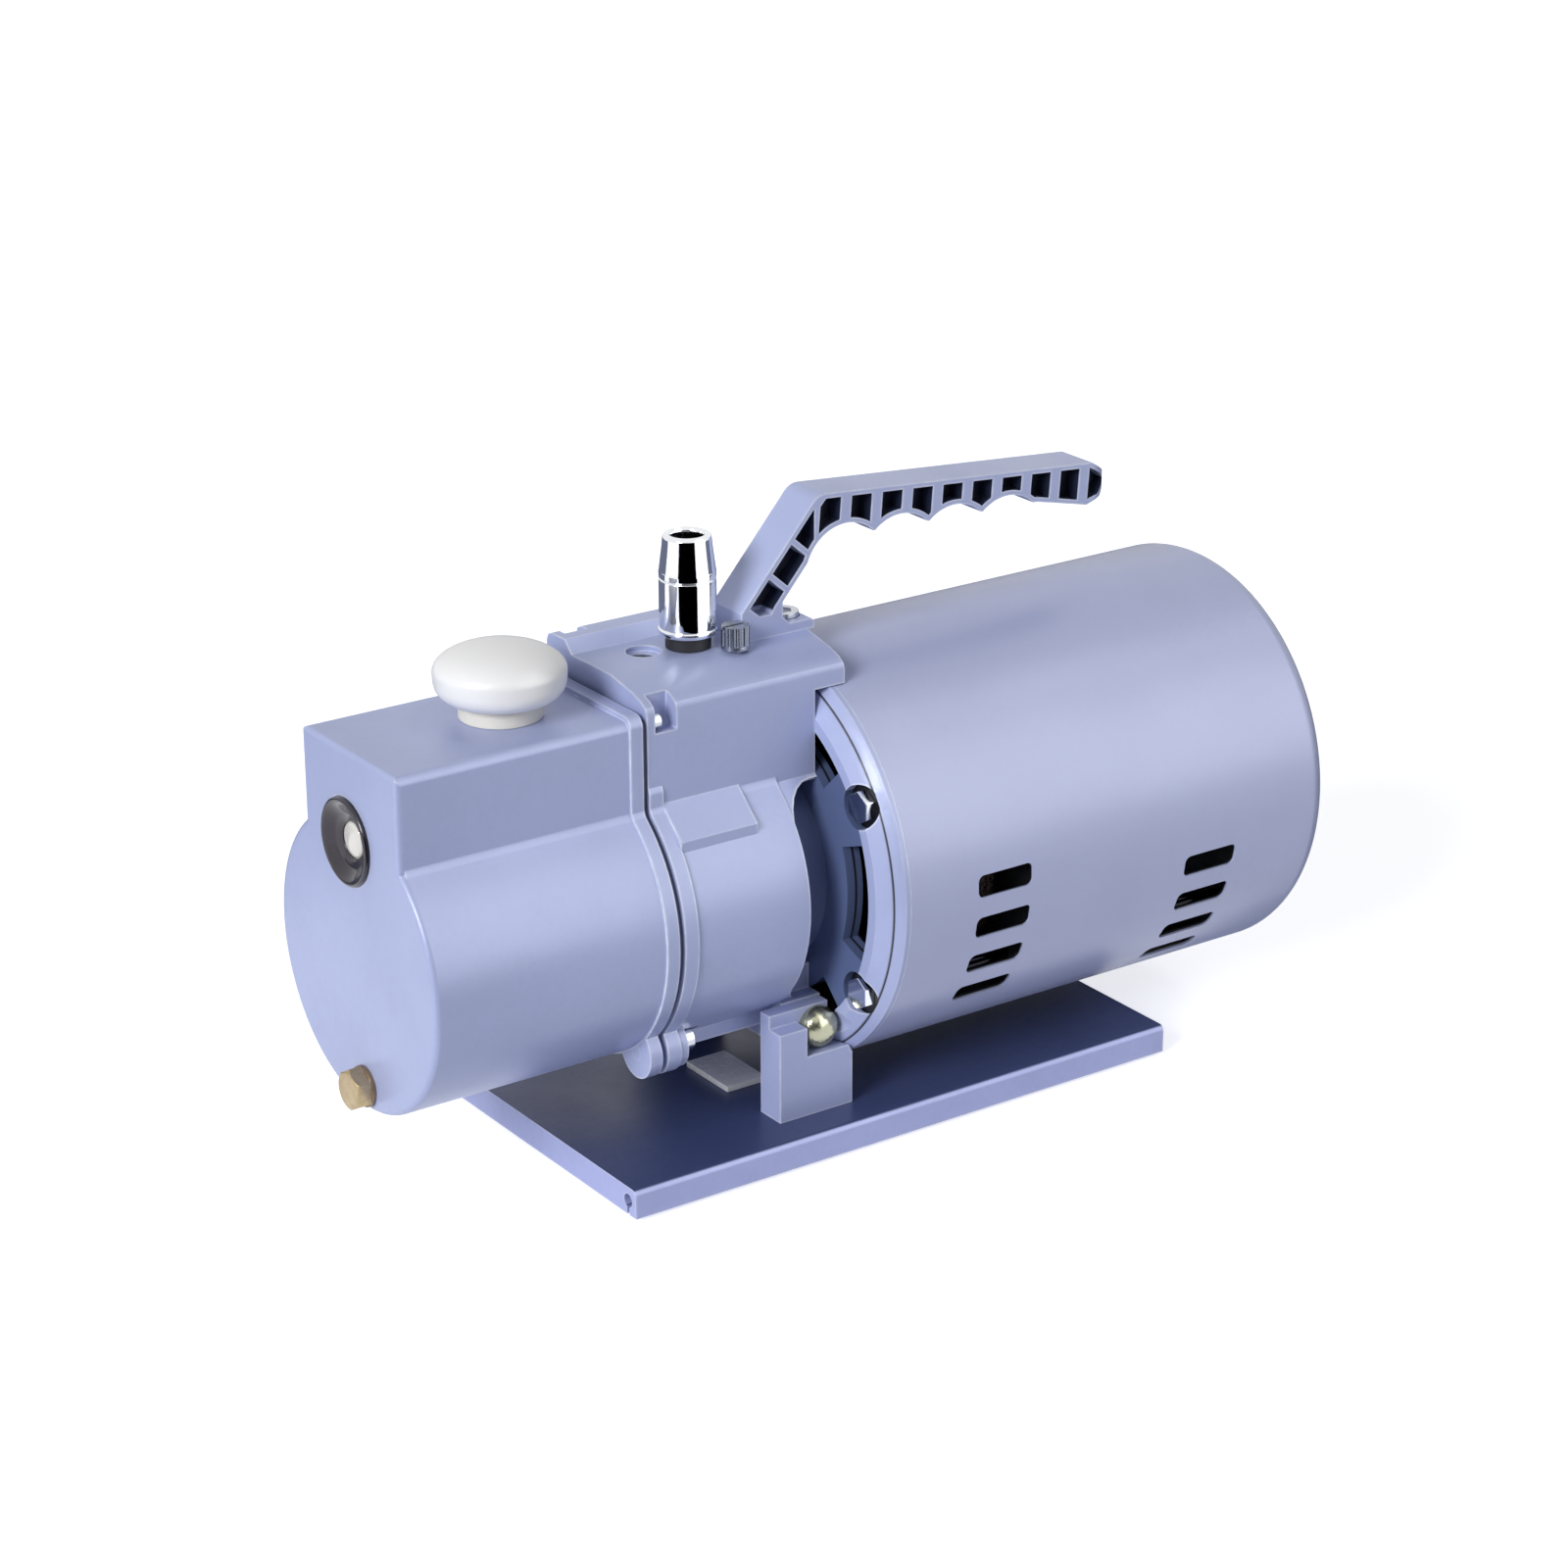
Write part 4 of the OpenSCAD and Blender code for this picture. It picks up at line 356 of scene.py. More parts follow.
@dataclass(frozen=True)
class Finish:
    """A procedural finish for one kind of surface.

    Attributes:
        name: Name of the material.
        colour: Linear base colour.
        grain: Fine relief.
        metallic: Share of metal.
        rough: Middle roughness.
        rough_span: How far roughness varies.
        shade: How much darker the darkest patches are.
        tint: Colour that the patches lean to.
        grain_scale: Size of the grain, in waves per metre.
        grain_depth: Depth of the grain in millimetres.
        coat: Weight of a clear coat.
        wear_and_highlight: Colour of sharp edges, from wear in patches and a painted highlight along
            every edge, or None.
        see_through: Transmission of glass.
        painted_shade_zones: Parts where shade is painted into the colour.
        top: Painted shade colour of faces that look up, or None.
    """

    name: str
    colour: Colour
    grain: Grain
    metallic: float = 0.0
    rough: float = 0.45
    rough_span: float = 0.1
    shade: float = 0.1
    tint: Colour | None = None
    grain_scale: float = 900.0
    grain_depth: float = 0.03
    coat: float = 0.0
    wear_and_highlight: Colour | None = None
    see_through: float = 0.0
    painted_shade_zones: tuple[PaintedShadeZone | Hollows, ...] = ()
    top: Colour | None = None

    def material(self) -> bpy.types.Material:
        """Builds the material.

        Returns:
            A new material with this finish.
        """
        made, graph = new_material(self.name)
        place = graph.coords()
        patches = graph.noise(place, scale=22.0, detail=4.0, rough=0.6)
        specks = graph.noise(place, scale=480.0, detail=2.0, rough=0.5)
        relief = self._relief(graph, place)
        share = patches.above(0.3, 0.75) * 0.75 + specks.above(0.35, 0.8) * 0.25
        dark = self.tint or tuple(c * (1 - self.shade) for c in self.colour)
        colour = graph.mix(share, self.colour, dark)
        # Sharp edges are lightened: wear in patches, and a painted highlight along the whole edge.
        if self.wear_and_highlight is not None:
            wear_and_highlight = graph.noise(place, scale=160.0, detail=4.0, rough=0.65).above(0.42, 0.62)
            rubbed_and_highlit = self._edges(graph) * (0.65 + wear_and_highlight * 0.35)
            colour = graph.mix(rubbed_and_highlit, colour, self.wear_and_highlight)
        # Faces that look up get a painted shade colour.
        if self.top is not None:
            upwards = graph.axes(graph.facing())[2]
            colour = graph.mix(upwards.above(0.75, 0.95), colour, self.top)
        # Painted shade in the handle's pockets and in places near the shaft line.
        for zone in self.painted_shade_zones:
            colour = graph.mix(zone.share(graph), colour, zone.colour)
        rough = self.rough - self.rough_span / 2 + share * self.rough_span
        shader = graph.out(
            "ShaderNodeBsdfPrincipled",
            {},
            {
                "Base Color": colour,
                "Metallic": self.metallic,
                "Roughness": rough,
                "Coat Weight": self.coat,
                "Coat Roughness": 0.12,
                "Transmission Weight": self.see_through,
                "IOR": 1.5,
                "Normal": relief,
            },
        )
        graph.node("ShaderNodeOutputMaterial", {}, {0: shader})
        return made

    @staticmethod
    def _edges(graph: Graph) -> Sock:
        """How far a rounded normal leaves the true one, which is large along edges only."""
        rounded = graph.out("ShaderNodeBevel", {"samples": 6}, {"Radius": 1.4 * MM})
        both = {0: rounded, 1: graph.facing()}
        alike = graph.out("ShaderNodeVectorMath", {"operation": "DOT_PRODUCT"}, both, "Value")
        return (1 - alike).above(0.02, 0.2)

    def _relief(self, graph: Graph, place: Sock) -> Sock:
        """The fine relief of the surface.

        Args:
            graph: Graph that the nodes go into.
            place: Object coordinates.

        Returns:
            The normal.
        """
        depth = self.grain_depth * MM
        if self.grain is Grain.CAST:
            skin = graph.noise(place, self.grain_scale, detail=3.0, rough=0.6)
            pits = graph.cells(place, self.grain_scale * 0.55).above(0.0, 0.45)
            waves = graph.noise(place, scale=45.0, detail=2.0, rough=0.4)
            wavy = graph.bump(waves, 0.25 * MM, 0.5)
            return graph.bump(skin * 0.6 + pits * 0.4, depth, 0.8, wavy)
        if self.grain is Grain.SPRAYED:
            orange_peel = graph.noise(place, self.grain_scale, detail=2.0, rough=0.4)
            waves = graph.noise(place, scale=14.0, detail=1.0, rough=0.4)
            wavy = graph.bump(waves, 0.4 * MM, 0.35)
            return graph.bump(orange_peel, depth, 0.7, wavy)
        if self.grain is Grain.DRAWN:
            long_marks = graph.coords((0.03, 1.0, 1.0))
            lines = graph.noise(long_marks, self.grain_scale, detail=3.0, rough=0.7)
            return graph.bump(lines, depth, 0.7)
        if self.grain is Grain.TURNED:
            centred = graph.coords(centre=SHAFT_LINE)
            grooves = {"Vector": centred, "Scale": self.grain_scale, "Distortion": 0.6, "Detail": 1.0}
            rings = graph.out("ShaderNodeTexWave", self._wave("RINGS", "SIN"), grooves, "Fac")
            fine = graph.noise(centred, scale=1500.0, detail=2.0, rough=0.5)
            return graph.bump(rings * 0.7 + fine * 0.3, depth, 0.7)
        if self.grain is Grain.GROUND:
            cross_marks = graph.coords((1.0, 0.06, 1.0))
            scratches = graph.noise(cross_marks, self.grain_scale, detail=2.0, rough=0.7)
            return graph.bump(scratches, depth, 0.5)
        if self.grain is Grain.LAMINATED:
            stack = {"Vector": place, "Scale": 318.0, "Distortion": 0.2}
            sheets = graph.out("ShaderNodeTexWave", self._wave("BANDS", "SAW"), stack, "Fac")
            return graph.bump(sheets, 0.1 * MM, 0.8)
        if self.grain is Grain.WOUND:
            coil = {"Vector": graph.coords(centre=SHAFT_LINE), "Scale": 180.0, "Distortion": 4.0,
                    "Detail": 2.0, "Detail Scale": 3.0}
            wires = graph.out("ShaderNodeTexWave", self._wave("RINGS", "SIN"), coil, "Fac")
            return graph.bump(wires, 0.5 * MM, 1.0)
        texture = graph.noise(place, self.grain_scale, detail=2.0, rough=0.5)
        return graph.bump(texture, depth, 0.6)

    @staticmethod
    def _wave(form: str, profile: str) -> dict[str, str]:
        """Settings of a wave texture that runs along or around the X axis."""
        way = {"RINGS": "rings_direction", "BANDS": "bands_direction"}[form]
        return {"wave_type": form, way: "X", "wave_profile": profile}


SILVER = srgb(174, 184, 224)
# Painted shade for the neck between housing and shield and for the shield's inner face.
MID_PAINTED_SHADE = srgb(92, 106, 146)
# Darker painted shade for the inside of the motor's can and the shield.
DEEP_PAINTED_SHADE = srgb(24, 24, 30)
# Edges get wear in patches and a painted highlight.
SILVER_PAINT = Finish(
    "silver_cast_paint", SILVER, Grain.CAST, metallic=0.05, rough=0.36, shade=0.07,
    grain_scale=700.0, grain_depth=0.05, wear_and_highlight=srgb(236, 240, 252))

FINISHES: dict[str, Finish] = {
    "silver_paint": SILVER_PAINT,
    # The handle's pockets get painted shade.
    "handle_paint": replace(
        SILVER_PAINT, name="silver_handle_paint", wear_and_highlight=srgb(232, 236, 250),
        painted_shade_zones=(Hollows(srgb(36, 42, 64)),)),
    # The neck between housing and shield gets painted shade.
    "housing_paint": replace(
        SILVER_PAINT, name="silver_housing_paint", painted_shade_zones=(PaintedShadeZone(134.4, 149.2, 36.0, MID_PAINTED_SHADE),)),
    # The shield's inner face and its inside get painted shade.
    "shield_paint": replace(
        SILVER_PAINT, name="silver_shield_paint",
        painted_shade_zones=(PaintedShadeZone(140.0, 200.0, 57.2, MID_PAINTED_SHADE), PaintedShadeZone(155.2, 200.0, 68.2, DEEP_PAINTED_SHADE),
               PaintedShadeZone(152.0, 152.8, 66.6, DEEP_PAINTED_SHADE))),
    # The inside of the motor's can and its rear end get painted shade.
    "can_paint": Finish(
        "silver_can_paint", srgb(178, 185, 220), Grain.SPRAYED, metallic=0.05, rough=0.34,
        rough_span=0.08, shade=0.05, grain_scale=520.0, grain_depth=0.04,
        painted_shade_zones=(PaintedShadeZone(140.0, 323.0, 68.3, DEEP_PAINTED_SHADE), PaintedShadeZone(322.8, 326.0, 67.2, DEEP_PAINTED_SHADE),
               PaintedShadeZone(325.8, 328.6, 63.4, DEEP_PAINTED_SHADE))),
    # Upward faces get painted shade; edges get wear and a painted highlight.
    "plate_aluminium": Finish(
        "plate_aluminium", srgb(172, 180, 226), Grain.DRAWN, metallic=0.1, rough=0.42,
        rough_span=0.16, shade=0.12, grain_scale=1400.0, grain_depth=0.06,
        wear_and_highlight=srgb(205, 210, 228), top=srgb(60, 72, 114)),
    # Near-white, brighter than aluminium: a painted pool of light on the strip under the pump.
    "bright_aluminium": Finish(
        "bright_aluminium", srgb(254, 254, 254), Grain.DRAWN, metallic=0.05, rough=0.3, shade=0.03,
        grain_scale=1200.0, grain_depth=0.04),
    "bare_aluminium": Finish(
        "bare_aluminium", srgb(196, 199, 208), Grain.TURNED, metallic=0.9, rough=0.38, shade=0.15,
        grain_scale=420.0, grain_depth=0.04),
    "zinc_steel": Finish(
        "zinc_steel", srgb(205, 208, 216), Grain.GROUND, metallic=1.0, rough=0.24, shade=0.2),
    "olive_zinc": Finish(
        "olive_zinc", srgb(186, 186, 160), Grain.GROUND, metallic=0.9, rough=0.26, shade=0.25),
    "black_steel": Finish(
        "black_steel", srgb(70, 72, 80), Grain.GROUND, metallic=0.8, rough=0.34, shade=0.2),
    "ground_steel": Finish(
        "ground_steel", srgb(190, 193, 200), Grain.GROUND, metallic=1.0, rough=0.22,
        grain_scale=1400.0, grain_depth=0.02),
    "machined_iron": Finish(
        "machined_iron", srgb(122, 124, 130), Grain.TURNED, metallic=0.85, rough=0.42, shade=0.2,
        grain_scale=420.0, grain_depth=0.05),
    "core_steel": Finish(
        "core_steel", srgb(52, 54, 62), Grain.LAMINATED, metallic=0.6, rough=0.5, shade=0.2),
    "chrome": Finish(
        "chrome", srgb(238, 240, 244), Grain.GROUND, metallic=1.0, rough=0.06, rough_span=0.04,
        shade=0.03, grain_scale=700.0, grain_depth=0.006),
    # The tie bolts inside the motor's can get painted shade.
    "bolt_chrome": Finish(
        "bolt_chrome", srgb(226, 230, 238), Grain.GROUND, metallic=1.0, rough=0.13,
        rough_span=0.06, shade=0.12, grain_depth=0.01,
        painted_shade_zones=(PaintedShadeZone(158.0, 328.0, 68.3, DEEP_PAINTED_SHADE),)),
    "dull_chrome": Finish(
        "dull_chrome", srgb(150, 156, 170), Grain.GROUND, metallic=0.9, rough=0.28,
        rough_span=0.08, shade=0.2, grain_depth=0.02),
    # A darker copy of brass: painted shade on the drain washer.
    "brass_shadow": Finish(
        "shaded_brass_washer", srgb(150, 128, 104), Grain.GROUND, metallic=0.7, rough=0.4, shade=0.3),
    "brass": Finish(
        "brass", srgb(196, 176, 138), Grain.GROUND, metallic=0.9, rough=0.3, shade=0.3,
        tint=srgb(140, 120, 92), grain_depth=0.04),
    "bronze": Finish(
        "bronze", srgb(190, 150, 100), Grain.TURNED, metallic=0.9, rough=0.38, shade=0.2,
        grain_scale=420.0),
    "copper": Finish(
        "copper", srgb(150, 92, 62), Grain.GROUND, metallic=0.8, rough=0.35, shade=0.3),
    "winding_varnish": Finish(
        "winding_varnish", srgb(46, 26, 20), Grain.WOUND, metallic=0.2, rough=0.4, shade=0.4,
        coat=0.4),
    "black_rubber": Finish(
        "black_rubber", srgb(38, 38, 42), Grain.MOULDED, rough=0.62, shade=0.3, grain_scale=1600.0,
        grain_depth=0.05),
    "red_rubber": Finish(
        "red_rubber", srgb(150, 48, 36), Grain.MOULDED, rough=0.55, shade=0.2, grain_scale=1500.0,
        grain_depth=0.05),
    "black_plastic": Finish(
        "black_plastic", srgb(40, 40, 46), Grain.MOULDED, rough=0.4, shade=0.2, grain_scale=1500.0,
        grain_depth=0.04),
    "red_plastic": Finish(
        "red_plastic", srgb(186, 30, 28), Grain.MOULDED, rough=0.25, coat=0.3, grain_depth=0.02),
    "ivory_plastic": Finish(
        "ivory_plastic", srgb(236, 232, 220), Grain.MOULDED, rough=0.42, shade=0.06,
        grain_scale=1200.0),
    "white_plastic": Finish(
        "white_plastic", srgb(249, 249, 250), Grain.MOULDED, rough=0.38, shade=0.02,
        grain_scale=1200.0, grain_depth=0.02, coat=0.15),
    "filter_mesh": Finish(
        "filter_mesh", srgb(150, 150, 150), Grain.MOULDED, metallic=0.5, rough=0.6, shade=0.3,
        grain_depth=0.3),
    "dark_bezel": Finish(
        "dark_bezel", srgb(58, 54, 62), Grain.TURNED, metallic=0.75, rough=0.2, shade=0.25,
        grain_scale=300.0, grain_depth=0.01, coat=0.6),
    "gasket_grey": Finish(
        "gasket_grey", srgb(86, 90, 118), Grain.MOULDED, rough=0.6, shade=0.2, grain_scale=1600.0,
        grain_depth=0.05),
    "opal_glass": Finish(
        "opal_glass", srgb(238, 236, 230), Grain.GROUND, rough=0.06, rough_span=0.02, shade=0.03,
        grain_scale=300.0, grain_depth=0.004, see_through=0.15, coat=0.8),
    "clear_glass": Finish(
        "clear_glass", srgb(238, 242, 246), Grain.GROUND, rough=0.04, rough_span=0.02, shade=0.02,
        grain_scale=300.0, grain_depth=0.004, see_through=1.0),
}


class Workshop:
    """Makes pieces from frame nodes or from bmesh, and dresses them."""

    def __init__(self) -> None:
        """Reads the record's slots and starts with no materials made."""
        self.slots = {s["node"]: s["material_slot"] for s in frame["record"]["subparts"]}
        self.made: dict[str, bpy.types.Material] = {}

    def finish(self, name: str) -> bpy.types.Material:
        """The material of a finish, made once."""
        if name not in self.made:
            self.made[name] = FINISHES[name].material()
        return self.made[name]

    def dress_node(self, node: str, finish: str) -> None:
        """Gives a frame node a finish."""
        item = frame["nodes"][node]
        item.data.materials.clear()
        item.data.materials.append(self.finish(finish))
        log.info("dressed %s with %s", node, finish)

    def place(self, name: str, shape: bmesh.types.BMesh, finish: str, body: Body, slot: str,
              replaces: Iterable[str] = ()) -> bpy.types.Object:
        """Turns a bmesh into a finished piece that rides on a body.

        Args:
            name: Name of the piece.
            shape: The mesh, in the frame's metres. It is freed.
            finish: Name of the finish.
            body: Body that the piece rides on.
            slot: The record's material slot; not used.
            replaces: Frame nodes that the piece stands for.

        Returns:
            The new object.
        """
        item = new_item(name, shape, self.finish(finish))
        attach(item, body.value)
        if replaces:
            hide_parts(*replaces)
        log.info("made %s with %s on %s", name, finish, body.value)
        return item

    @staticmethod
    def from_node(node: str) -> bmesh.types.BMesh:
        """A merged copy of a frame node's mesh, with its flat faces joined.

        Args:
            node: Name of the frame node.

        Returns:
            The new bmesh.
        """
        shape = bmesh.new()
        shape.from_mesh(frame["nodes"][node].data)
        for layer in list(shape.loops.layers.float_vector.values()):
            shape.loops.layers.float_vector.remove(layer)
        bmesh.ops.remove_doubles(shape, verts=shape.verts, dist=0.002 * MM)
        bmesh.ops.dissolve_limit(
            shape, angle_limit=math.radians(FLAT_ANGLE), use_dissolve_boundaries=False,
            verts=shape.verts, edges=shape.edges, delimit=set())
        return shape

    def recast(self, node: str, name: str, finish: str, edge: float,
               body: Body = Body.FRAME) -> None:
        """Rebuilds a frame node with rounded edges.

        Args:
            node: Name of the frame node.
            name: Name of the new piece.
            finish: Name of the finish.
            edge: Width of the rounding in millimetres.
            body: Body that the piece rides on.
        """
        item = self.place(name, self.from_node(node), finish, body, self.slots[node], [node])
        smooth_faces(item)
        self._round_edges(item, "rounded_edges", edge, 30.0, "MITER_ARC")
        even_shading(item)

    def soften(self, item: bpy.types.Object, edge: float) -> None:
        """Rounds a turned piece's sharp edges a little and evens its shading.

        Args:
            item: The piece.
            edge: Width of the rounding in millimetres.
        """
        smooth_faces(item)
        self._round_edges(item, "soft_edges", edge, 35.0, "MITER_SHARP")
        even_shading(item)

    @staticmethod
    def _round_edges(item: bpy.types.Object, name: str, edge: float, sharp: float,
                     corners: str) -> None:
        """Rounds a piece's sharp edges by a modifier.

        Args:
            item: The piece.
            name: Name of the modifier.
            edge: Width of the rounding in millimetres.
            sharp: Edges sharper than this many degrees are rounded.
            corners: How the roundings meet at outer corners.
        """
        rounding = item.modifiers.new(name, "BEVEL")
        rounding.width = edge * MM
        rounding.segments = 2
        rounding.limit_method = "ANGLE"
        rounding.angle_limit = math.radians(sharp)
        rounding.miter_outer = corners


def even_shading(item: bpy.types.Object) -> None:
    """Makes large faces shade flat up to their rounded edges."""
    shading = item.modifiers.new("even_shading", "WEIGHTED_NORMAL")
    shading.mode = "FACE_AREA_WITH_ANGLE"
    shading.weight = 60
    shading.keep_sharp = False


def smooth_faces(item: bpy.types.Object) -> None:
    """Shades every face of a piece smooth."""
    item.data.polygons.foreach_set("use_smooth", [True] * len(item.data.polygons))


@dataclass
class Studio:
    """Camera, floor and lights.

    Attributes:
        place: Where the camera stands, in metres.
        azimuth: Turn of the view from +Y towards +X, in degrees.
        elevation: Downward tilt of the view, in degrees.
        roll: Turn of the view about its own line, in degrees.
        lens: Focal length in millimetres on a 36 mm sensor.
        floor_size: Half of the floor's side, in metres.
        floor_lift: How bright the floor glows to the camera and in reflections.
    """

    place: tuple[float, float, float] = (-0.6749, -0.9608, 0.5616)
    azimuth: float = 34.826
    elevation: float = 21.257
    roll: float = -0.208
    lens: float = 90.0
    floor_size: float = 9.0
    floor_lift: float = 0.71

    def build(self) -> None:
        """Sets up the whole studio."""
        self._camera()
        self._floor()
        self._world()
        self._lights()
        self._cards()
        bpy.context.scene.view_settings.view_transform = "Standard"
        log.info("studio ready")

    def _camera(self) -> None:
        """Makes the camera and gives it to the scene."""
        azimuth, elevation, roll = map(math.radians, (self.azimuth, self.elevation, self.roll))
        forward = Vector((
            math.sin(azimuth) * math.cos(elevation),
            math.cos(azimuth) * math.cos(elevation),
            -math.sin(elevation),
        ))
        level = Vector((math.cos(azimuth), -math.sin(azimuth), 0.0))
        upright = level.cross(forward)
        right = level * math.cos(roll) + upright * math.sin(roll)
        up = right.cross(forward)
        lens = bpy.data.cameras.new("view")
        lens.lens = self.lens
        lens.sensor_width = 36.0
        lens.clip_start = 0.05
        lens.clip_end = 50.0
        camera = bpy.data.objects.new("view", lens)
        bpy.context.scene.collection.objects.link(camera)
        turned = Matrix((right, up, -forward)).transposed().to_4x4()
        camera.matrix_world = Matrix.Translation(self.place) @ turned
        bpy.context.scene.camera = camera

    def _floor(self) -> None:
        """Makes the pale floor, which glows a little for the camera and so shows white."""
        shape = bmesh.new()
        bmesh.ops.create_grid(shape, x_segments=1, y_segments=1, size=self.floor_size)
        material, graph = new_material("floor_paper")
        paper = graph.noise(graph.coords(), scale=300.0, detail=2.0).above(0.3, 0.7)
        colour = graph.mix(paper, (0.80, 0.82, 0.88), (0.78, 0.80, 0.86))
        diffuse = graph.out("ShaderNodeBsdfDiffuse", {}, {"Color": colour})
        path = graph.node("ShaderNodeLightPath", {}, {})
        seen = Sock(graph, path.outputs["Is Camera Ray"]) + Sock(graph, path.outputs["Is Glossy Ray"])
        glow = {"Color": (1.0, 1.0, 1.0), "Strength": seen * self.floor_lift}
        lift = graph.out("ShaderNodeEmission", {}, glow)
        both = graph.out("ShaderNodeAddShader", {}, {0: diffuse, 1: lift})
        graph.node("ShaderNodeOutputMaterial", {}, {0: both})
        new_item("floor", shape, material)

    @staticmethod
    def _world() -> None:
        """Makes a surround that is seen white and lights the pump softly."""
        world = bpy.data.worlds.new("surround")
        world.use_nodes = True
        bpy.context.scene.world = world
        graph = Graph(world.node_tree)
        path = graph.node("ShaderNodeLightPath", {}, {})
        camera = Sock(graph, path.outputs["Is Camera Ray"])
        glossy = Sock(graph, path.outputs["Is Glossy Ray"])
        clear = Sock(graph, path.outputs["Is Transmission Ray"])
        soft = graph.out("ShaderNodeBackground", {}, {"Color": (1.0, 1.0, 1.0), "Strength": 0.25})
        white = graph.out("ShaderNodeBackground", {}, {"Color": (1.0, 1.0, 1.0), "Strength": 1.0})
        shown = graph.out(
            "ShaderNodeMath", {"operation": "ADD", "use_clamp": True}, {0: camera + clear, 1: glossy})
        mixed = graph.out("ShaderNodeMixShader", {}, {0: shown, 1: soft, 2: white})
        graph.node("ShaderNodeOutputWorld", {}, {0: mixed})

    def _lights(self) -> None:
        """Adds the soft key light from the oil case's end and a light on the long edges."""
        self._sun("key", Vector((-0.85, -0.30, 0.46)), strength=2.25, softness=24.0)
        self._sun("edge", Vector((0.50, -0.20, 0.84)), strength=0.25, softness=20.0)

    def _cards(self) -> None:
        """Sets up the cards that only shiny surfaces see, as in a photo studio."""
        low, near, reach, spread, tall = 0.004, 0.22, 2.4, 0.72, 1.3
        floor = [(-near * spread, -near, low), (near * spread, -near, low),
                 (reach * spread, -reach, low), (-reach * spread, -reach, low)]
        wall = [floor[3], floor[2], (reach * spread, -reach, tall), (-reach * spread, -reach, tall)]
        back = [(-reach, 0.06, low), (reach, 0.06, low), (reach, reach, low), (-reach, reach, low)]
        side = [(1.3, -1.5, 0.1), (2.5, 0.2, 0.1), (2.5, 0.2, 3.4), (1.3, -1.5, 2.4)]
        black, grey, white = (0.0, 0.0, 0.0), (0.16, 0.18, 0.26), (1.0, 1.0, 1.0)
        self._card("black_floor_card", floor, black, strength=0.0)
        self._card("black_wall_card", wall, black, strength=0.0)
        self._card("grey_floor_card", back, grey, strength=1.0)
        self._card("bright_side_card", side, white, strength=3.4)

    def _card(self, name: str, corners: list[tuple[float, float, float]], colour: Colour,
              strength: float) -> None:
        """Sets up one card.

        Args:
            name: Name of the card.
            corners: Its corners in metres, with Y along the view and X to its right.
            colour: Linear colour.
            strength: How bright it is.
        """
        shape = bmesh.new()
        shape.faces.new([shape.verts.new(Vector(corner)) for corner in corners])
        turn = Matrix.Rotation(-math.radians(self.azimuth), 3, "Z")
        bmesh.ops.rotate(shape, cent=(0.0, 0.0, 0.0), matrix=turn, verts=shape.verts)
        material, graph = new_material(name)
        glow = graph.out("ShaderNodeEmission", {}, {"Color": colour, "Strength": strength})
        graph.node("ShaderNodeOutputMaterial", {}, {0: glow})
        card = new_item(name, shape, material)
        card.visible_camera = False
        card.visible_diffuse = False
        card.visible_shadow = False
        card.visible_transmission = False

    @staticmethod
    def _sun(name: str, towards: Vector, strength: float, softness: float) -> None:
        """Adds a far light that shines from a direction, softened over some degrees."""
        data = bpy.data.lights.new(name, "SUN")
        data.energy = strength
        data.angle = math.radians(softness)
        lamp = bpy.data.objects.new(name, data)
        lamp.matrix_world = towards.to_track_quat("Z", "Y").to_matrix().to_4x4()
        bpy.context.scene.collection.objects.link(lamp)


def arc(centre: Point, radius: float, start: float, end: float, steps: int = 6) -> list[Point]:
    """Points of a rounded corner in a profile.

    Args:
        centre: Centre of the arc, as distance from the axis and place along it.
        radius: Radius of the arc.
        start: First angle in degrees, 0 pointing away from the axis, 90 along it.
        end: Last angle in degrees.
        steps: Number of straight steps.

    Returns:
        The points from start to end.
    """
    angles = (math.radians(start + (end - start) * i / steps) for i in range(steps + 1))
    return [(centre[0] + radius * math.cos(a), centre[1] + radius * math.sin(a)) for a in angles]


def turned_ring(profile: list[Point], along: Vector, centre: Vector, steps: int = 96,
                into: bmesh.types.BMesh | None = None) -> bmesh.types.BMesh:
    """Turns a closed profile about an axis, as on a lathe.

    Args:
        profile: Points as distance from the axis and place along it, in millimetres.
        along: Direction of the axis.
        centre: Point on the axis where the places start.
        steps: Number of steps of a full turn.
        into: Mesh that gets the ring, or None for a new one.

    Returns:
        The mesh with the ring.
    """
    shape = into if into is not None else bmesh.new()
    outwards = along.orthogonal().normalized()
    rim = [shape.verts.new(centre + (outwards * r + along * h) * MM) for r, h in profile]
    edges = [shape.edges.new(pair) for pair in zip(rim, rim[1:] + rim[:1])]
    bmesh.ops.spin(
        shape, geom=rim + edges, cent=centre, axis=along, angle=FULL_TURN, steps=steps,
        use_merge=True)
    bmesh.ops.remove_doubles(shape, verts=shape.verts, dist=0.001 * MM)
    bmesh.ops.recalc_face_normals(shape, faces=shape.faces)
    return shape


